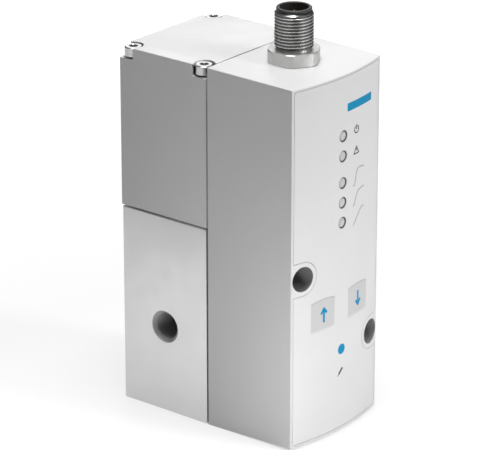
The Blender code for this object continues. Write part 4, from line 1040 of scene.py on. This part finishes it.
def stroke(points, width):
    """A bent line of a width as a block through the front."""
    whole = None
    for (x0, z0), (x1, z1) in zip(points, points[1:]):
        half = math.hypot(x1 - x0, z1 - z0) / 2
        bar = brick("bar", (-half, AHEAD, -width / 2), (half, BEHIND, width / 2))
        tilt = Matrix.Rotation(-math.atan2(z1 - z0, x1 - x0), 4, "Y")
        bar.data.transform(Matrix.Translation(((x0 + x1) / 2, 0, (z0 + z1) / 2)) @ tilt)
        whole = combine(whole, bar, "UNION") if whole else bar
    for x, z in points[1:-1]:
        whole = combine(whole, post(width * 0.51, x, z, 24), "UNION")
    return whole


def print_shape(name, shape, low, high, finish, body="casing"):
    """Ink on the curved front in the shape of a block."""
    sheet = front_sheet(name, -INK_RISE, INK_BASE, low, high)
    combine(sheet, shape, "INTERSECT")
    dress(sheet, finish, body)


def print_symbol(name, shape, x, z):
    """A dark symbol about a point."""
    low, high = (x - SYMBOL_SPAN, z - SYMBOL_SPAN), (x + SYMBOL_SPAN, z + SYMBOL_SPAN)
    print_shape(name, shape, low, high, "dark_ink")


def slab(low, high):
    """A plain mark as a block through the front, between two corners in X and Z."""
    return brick("slab", (low[0], AHEAD, low[1]), (high[0], BEHIND, high[1]))


def make_print():
    """Lamp symbols, key arrows and the plain marks beside them."""
    for name, points in RAMPS.items():
        route = [(x * MM, z * MM) for x, z in points]
        low, high = (4 * MM, route[0][1] - 2 * MM), (14 * MM, route[-1][1] + 2 * MM)
        print_shape(name, stroke(route, RAMP_WIDTH), low, high, "grey_ink")
    for name, x, middle, sense in ARROWS:
        tip = (x, middle + sense * ARROW_HALF)
        barb = tip[1] - sense * ARROW_BARB
        shaft = stroke([tip, (x, middle - sense * ARROW_HALF)], ARROW_WIDTH)
        wings = [(x - ARROW_WING, barb), tip, (x + ARROW_WING, barb)]
        shape = combine(shaft, stroke(wings, ARROW_WIDTH), "UNION")
        arrow = pad_sheet(f"{name}_arrow", PAD_X[name], -0.01 * MM, 0.06 * MM)
        combine(arrow, shape, "INTERSECT")
        dress(arrow, "blue_ink", f"{name}_key_body")
    dot = post(1.7 * MM, 0.2 * MM, EDIT_Z + 0.35 * MM, 64)
    low, high = (-2 * MM, EDIT_Z - 2 * MM), (2 * MM, EDIT_Z + 3 * MM)
    print_shape("edit_dot", dot, low, high, "blue_ink", "edit_key_body")
    bar = slab((1.9 * MM, HEIGHT - 12.9 * MM), (15.5 * MM, HEIGHT - 10.3 * MM))
    low, high = (1 * MM, HEIGHT - 15 * MM), (17 * MM, HEIGHT - 8 * MM)
    print_shape("blue_bar", bar, low, high, "blue_ink")

    x, z = SYMBOL_X, LAMPS["power_lens"] + 0.35 * MM
    ring = post(1.3 * MM, x, z)
    combine(ring, post(0.92 * MM, x, z, past=PAST))
    combine(ring, slab((x - 0.45 * MM, z), (x + 0.45 * MM, z + 1.6 * MM)))
    combine(ring, slab((x - 0.19 * MM, z), (x + 0.19 * MM, z + 1.6 * MM)), "UNION")
    print_symbol("power_mark", ring, x, z)

    z = LAMPS["error_lens"] + 0.1 * MM
    foot = z - 1.0 * MM
    corners = [(x - 1.35 * MM, foot), (x + 1.35 * MM, foot), (x, z + 1.3 * MM)]
    triangle = stroke([*corners, *corners[:2]], 0.36 * MM)
    tick = slab((x - 0.18 * MM, z - 0.15 * MM), (x + 0.18 * MM, z + 0.6 * MM))
    print_symbol("error_mark", combine(triangle, tick, "UNION"), x, z)

    x, z = -0.3 * MM, 20.3 * MM
    shaft, tip = [
        stroke([(x + start * MM, z + start * MM), (x + stop * MM, z + stop * MM)], width * MM)
        for start, stop, width in ((-0.7, 1.1, 0.75), (-1.25, -0.6, 0.3))
    ]
    print_symbol("edit_mark", combine(shaft, tip, "UNION"), x, z)


# Connector


def make_connector():
    axis = on_connector(0)
    hex_top = HEIGHT + HEX_HEIGHT
    foot = SHELL_LOW.z
    rim = SHELL_HIGH.z
    shank = [
        (SHANK_R, hex_top - 0.1 * MM), (SHANK_R, foot + CHAMFER),
        (SHANK_R - CHAMFER, foot),
        (FOOT_BORE_R, foot), (FOOT_BORE_R, hex_top - 0.1 * MM),
    ]
    shell = lathe("connector_shell_body", shank, axis, closed=True)
    corner = HEX_FLATS_R / math.cos(math.pi / 6)
    start = on_connector(HEIGHT - 0.25 * MM)
    nut = rod("hexagon", corner, start, HEX_HEIGHT + 0.25 * MM, sides=6)
    start = on_connector(HEIGHT - PAST)
    bore(nut, SEAL_R + 0.1 * MM, start, PAST)
    envelope = [
        (0, hex_top + FIT),
        (HEX_CORNER_R - 0.55 * MM, hex_top + FIT),
        (HEX_CORNER_R, hex_top - 0.25 * MM), (HEX_CORNER_R, HEIGHT - PAST),
        (0, HEIGHT - PAST),
    ]
    combine(nut, lathe("turning", envelope, axis, steps=120), "INTERSECT")
    bore(nut, FOOT_BORE_R, start, HEX_HEIGHT + 2 * PAST)
    combine(shell, nut, "UNION")
    neck_top = hex_top + 0.35 * MM
    length = rim - neck_top
    start = on_connector(neck_top)
    screw = thread("m12_thread", M12_R, M12_ROOT_R, M12_PITCH, length, start, steps=96)
    end = [
        (0, rim + PAST),
        (M12_ROOT_R - PAST, rim + PAST),
        (M12_R + 0.05 * MM, rim - 0.7 * MM), (M12_R + 0.05 * MM, neck_top + 0.6 * MM),
        (M12_ROOT_R, neck_top - 0.1 * MM),
        (0, neck_top - 0.1 * MM),
    ]
    combine(screw, lathe("chamfer", end, axis), "INTERSECT")
    start = on_connector(hex_top - 0.2 * MM)
    combine(screw, rod("neck", M12_ROOT_R - 0.05 * MM, start, 1.2 * MM), "UNION")
    combine(shell, screw, "UNION")
    bore(shell, CROWN_BORE_R, on_connector(hex_top + 0.5 * MM), rim - hex_top + PAST)
    bore(shell, FOOT_BORE_R, on_connector(foot - PAST), rim - foot)
    dress(shell, "nickel_plate", replaces=["connector_shell"], angle=25)


def make_insert():
    rim = SHELL_HIGH.z + FIT
    top = INSERT_HIGH.z
    foot = INSERT_LOW.z
    floor = SHELL_HIGH.z - 8.5 * MM
    sleeve = HEIGHT + HEX_HEIGHT + 0.5 * MM + FIT
    well_r = 4.45 * MM
    crown_r = 5.45 * MM
    sleeve_r = CROWN_BORE_R - FIT
    core_r = FOOT_BORE_R - FIT
    profile = [
        (0, floor),
        (well_r, floor), (well_r, top - 0.15 * MM),
        (well_r + 0.15 * MM, top),
        (crown_r - 0.2 * MM, top),
        (crown_r, top - 0.2 * MM), (crown_r, rim),
        (sleeve_r, rim), (sleeve_r, sleeve),
        (core_r, sleeve), (core_r, foot),
        (0, foot),
    ]
    insert = lathe("connector_insert_body", profile, on_connector(0), steps=80)
    angle = math.radians(200)
    outward = Vector((math.cos(angle), math.sin(angle), 0))
    rib = Vector(on_connector(floor - 0.5 * MM)) + 4.3 * MM * outward
    combine(insert, rod("key_rib", 0.55 * MM, rib, 8.6 * MM, sides=24), "UNION")
    for number in range(1, 9):
        low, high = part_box(f"contact_pin_{number}")
        middle = (low + high) / 2
        start = (middle.x, middle.y, foot - PAST)
        bore(insert, PIN_WAY_R, start, floor - foot + 2 * PAST, 24)
        pin = [
            (0, high.z),
            (0.2 * MM, high.z),
            (0.42 * MM, high.z - 0.22 * MM),
            (PIN_R, high.z - 0.5 * MM), (PIN_R, low.z),
            (0, low.z),
        ]
        contact = lathe(f"contact_{number}", pin, (middle.x, middle.y, 0), steps=24)
        dress(contact, "gold_plate", replaces=[f"contact_pin_{number}"])
    dress(insert, "black_plastic", replaces=["connector_insert"])


# Springs and diaphragm


def coil(name, coil_r, wire_r, turns, low, high, at):
    """A round wire wound up about a vertical axis."""
    bpy.ops.mesh.primitive_circle_add(
        vertices=12, radius=wire_r, location=(coil_r, 0, 0), rotation=(math.pi / 2, 0, 0)
    )
    item = settle(name)
    winding = item.modifiers.new("winding", "SCREW")
    winding.steps = 32
    winding.render_steps = 32
    winding.iterations = turns
    winding.screw_offset = (high - low - 2 * wire_r) / turns
    apply_all(item)
    edit_all()
    bpy.ops.mesh.fill_holes(sides=0)
    face_outward()
    item.data.transform(Matrix.Translation((at[0], at[1], low + wire_r)))
    return item


def make_springs():
    """Coiled wire springs in place of the frame's springs."""
    springs = (
        ("piston_spring", 0.45, 4, "piston_slide", 2.0, "low"),
        ("poppet_spring", 0.4, 5, "poppet_slide", 1.2, "low"),
        ("supply_pilot_armature_spring", 0.2, 3, "supply_armature_slide", 0.6, "high"),
        ("exhaust_pilot_armature_spring", 0.2, 3, "exhaust_armature_slide", 0.6, "high"),
    )
    for name, wire, turns, joint, travel, still in springs:
        low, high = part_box(name)
        middle = (low + high) / 2
        wire_r = wire * MM
        coil_r = (high.y - low.y) / 2 - wire_r
        spring = coil(f"{name}_wire", coil_r, wire_r, turns, low.z, high.z, middle)
        dress(spring, "steel", replaces=[name])
        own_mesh(spring)


def make_diaphragm():
    """A clamped bead, a middle held by the plates, and eight sectors of web between them."""
    low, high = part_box("diaphragm")
    plate_low, plate_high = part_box("upper_plate")
    axis = (0, VALVE_Y, 0)
    bead_r = high.x
    bead_in = bead_r - BEAD_WIDTH
    slope_r = plate_high.x + FIT
    crown = plate_low.z - FIT
    under = crown - DIAPHRAGM_THICK
    bead_top = CAP_LOW.z + BLOCK_HIGH.z - low.z
    bead = [(bead_r, bead_top), (bead_r, low.z), (bead_in, low.z), (bead_in, bead_top)]
    hub = [(slope_r, crown), (slope_r, under), (HUB_HOLE_R, under), (HUB_HOLE_R, crown)]
    rim = lathe("diaphragm_bead", bead, axis, closed=True)
    middle = lathe("diaphragm_hub", hub, axis, closed=True)
    dress(rim, "rubber", replaces=["diaphragm"])
    dress(middle, "rubber", "main_piston")

    def slope(outer_z, inner_z):
        """Points down the web, from the bead in to the hub."""
        shares = [number / WEB_STEPS for number in range(WEB_STEPS + 1)]
        return [
            (bead_in + (slope_r - bead_in) * share, outer_z + (inner_z - outer_z) * share)
            for share in shares
        ]

    web = slope(low.z, under) + slope(bead_top, crown)[::-1]
    half = math.pi / SECTORS
    for number in range(SECTORS):
        angle = 2 * half * number
        sector = lathe(f"diaphragm_web_{number + 1}", web, axis, closed=True)
        for side in (-1, 1):
            turned = angle + side * half
            bisect(sector, axis, (-side * math.sin(turned), side * math.cos(turned), 0))
        paints["rubber"].on(smooth(sector))
        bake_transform(sector)


# Inner pieces keep their solids and take a finish


def finish_inner_pieces():
    for entry in frame["record"]["subparts"]:
        paints[entry["material_slot"]].on(frame["nodes"][entry["node"]])


# Stage, lights and camera


def make_stage():
    """A pale floor that keeps the shadow and looks white all the way to the horizon."""
    bpy.ops.mesh.primitive_plane_add(size=6, location=(0, 0, 0))
    floor = settle("floor")
    paint = Paint("floor", (0.42, 0.42, 0.42), 0.9, specular=0.0)
    length = {"operation": "LENGTH"}
    distance = paint.node("ShaderNodeVectorMath", length, {0: paint.place}, output=1)
    levels = {"Value": distance, "From Min": 0.1, "From Max": 0.6, "To Min": 0.6, "To Max": 1.0}
    seen = paint.node("ShaderNodeMapRange", inputs=levels)
    x, y, _ = paint.axes()
    reach = distance + MM
    toward_camera = (x * -0.67 + y * -0.74) / reach
    ahead = (x * 0.12 + y * -0.993) / reach
    dim = paint.step(toward_camera, 0.86, 0.96)
    bright = paint.step(ahead, 0.985, 0.997)
    glow = 0.5 - dim * 0.45 + bright * 0.5
    camera_ray = paint.node("ShaderNodeLightPath")
    glossy_ray = paint.node("ShaderNodeLightPath", output=3)
    level = seen * camera_ray + glossy_ray * glow
    paint.set("Emission Strength", 1.0)
    paint.set("Emission Color", paint.blend(level, (0, 0, 0, 1), (1, 1, 1, 1)))
    paint.on(floor)


def make_world():
    """White behind the object, dim to reflections and to the room's light."""
    world = bpy.data.worlds.new("studio")
    bpy.context.scene.world = world
    world.use_nodes = True
    graph = Graph(world.node_tree, "Background")
    camera_ray = graph.node("ShaderNodeLightPath")
    glossy_ray = graph.node("ShaderNodeLightPath", output=3)
    graph.set("Color", (1, 1, 1, 1))
    graph.set("Strength", camera_ray + glossy_ray * 0.12 + 0.02)


def make_lamp(name, place_at, target, size, power, spread=180):
    light = bpy.data.lights.new(name, "AREA")
    light.shape = "RECTANGLE"
    light.size, light.size_y = size
    light.energy = power
    light.spread = math.radians(spread)
    lamp = bpy.data.objects.new(name, light)
    bpy.context.scene.collection.objects.link(lamp)
    lamp.location = place_at
    aim = Vector(target) - Vector(place_at)
    lamp.rotation_euler = aim.to_track_quat("-Z", "Y").to_euler()
    lamp.visible_camera = False
    return lamp


def make_lights():
    """Softboxes, two floor lights, and low panels that lift the object's foot."""
    middle = (0, 0, 60 * MM)
    make_lamp("top_softbox", (-0.04, 0, 0.8), middle, (0.4, 0.4), 4.65)
    make_lamp("front_strip", (0.24, -0.9, 0.45), middle, (0.22, 0.7), 4.65)
    make_lamp("rear_softbox", (0.72, 0.58, 0.48), middle, (0.5, 0.5), 1.1)
    spot = (0.12, 0.12)
    make_lamp("left_floor_light", (-0.22, 0.02, 0.45), (-0.22, 0.02, 0), spot, 0.16, 50)
    make_lamp("front_floor_light", (0.12, -0.2, 0.45), (0.12, -0.2, 0), spot, 0.18, 50)
    foot = (0, 0, 0.02)
    corner = make_lamp("low_corner_panel", (-0.09, -0.09, 0.012), foot, (0.05, 0.02), 0.036)
    front = make_lamp("low_front_panel", (0.02, -0.2, 0.02), foot, (0.07, 0.03), 0.04)
    for panel in (corner, front):
        panel.visible_glossy = False


CAMERA_AZIMUTH = math.radians(-51.187)
CAMERA_ELEVATION = math.radians(21.313)
CAMERA_ROLL = math.radians(0.062)
CAMERA_DISTANCE = 1.0049
CAMERA_SHIFT = (8.01 * MM, -1.25 * MM)
CAMERA_TARGET = Vector((0, 11.66 * MM, 59 * MM))
CAMERA_LENS = 230.0
CAMERA_SENSOR = 36


def make_camera():
    data = bpy.data.cameras.new("camera")
    data.lens = CAMERA_LENS
    data.sensor_width = CAMERA_SENSOR
    data.clip_start = 0.01
    data.clip_end = 20
    camera = bpy.data.objects.new("camera", data)
    bpy.context.scene.collection.objects.link(camera)
    flat = math.cos(CAMERA_ELEVATION)
    side, ahead = math.sin(CAMERA_AZIMUTH) * flat, -math.cos(CAMERA_AZIMUTH) * flat
    back = Vector((side, ahead, math.sin(CAMERA_ELEVATION)))
    right = (-back).cross(Vector((0, 0, 1))).normalized()
    up = right.cross(-back)
    turned_right = right * math.cos(CAMERA_ROLL) + up * math.sin(CAMERA_ROLL)
    turned_up = up * math.cos(CAMERA_ROLL) - right * math.sin(CAMERA_ROLL)
    pose = Matrix((turned_right, turned_up, back)).transposed().to_4x4()
    shift = turned_right * CAMERA_SHIFT[0] + turned_up * CAMERA_SHIFT[1]
    pose.translation = CAMERA_TARGET + back * CAMERA_DISTANCE + shift
    camera.matrix_world = pose
    bpy.context.scene.camera = camera


finish_inner_pieces()
make_valve_block()
make_closing_plug()
make_cap()
make_cap_screws()
make_housing()
make_film()
make_lenses()
make_pads()
make_print()
make_connector()
make_insert()
make_springs()
make_diaphragm()
make_stage()
make_world()
make_lights()
make_camera()
bpy.context.scene.view_settings.view_transform = "Standard"
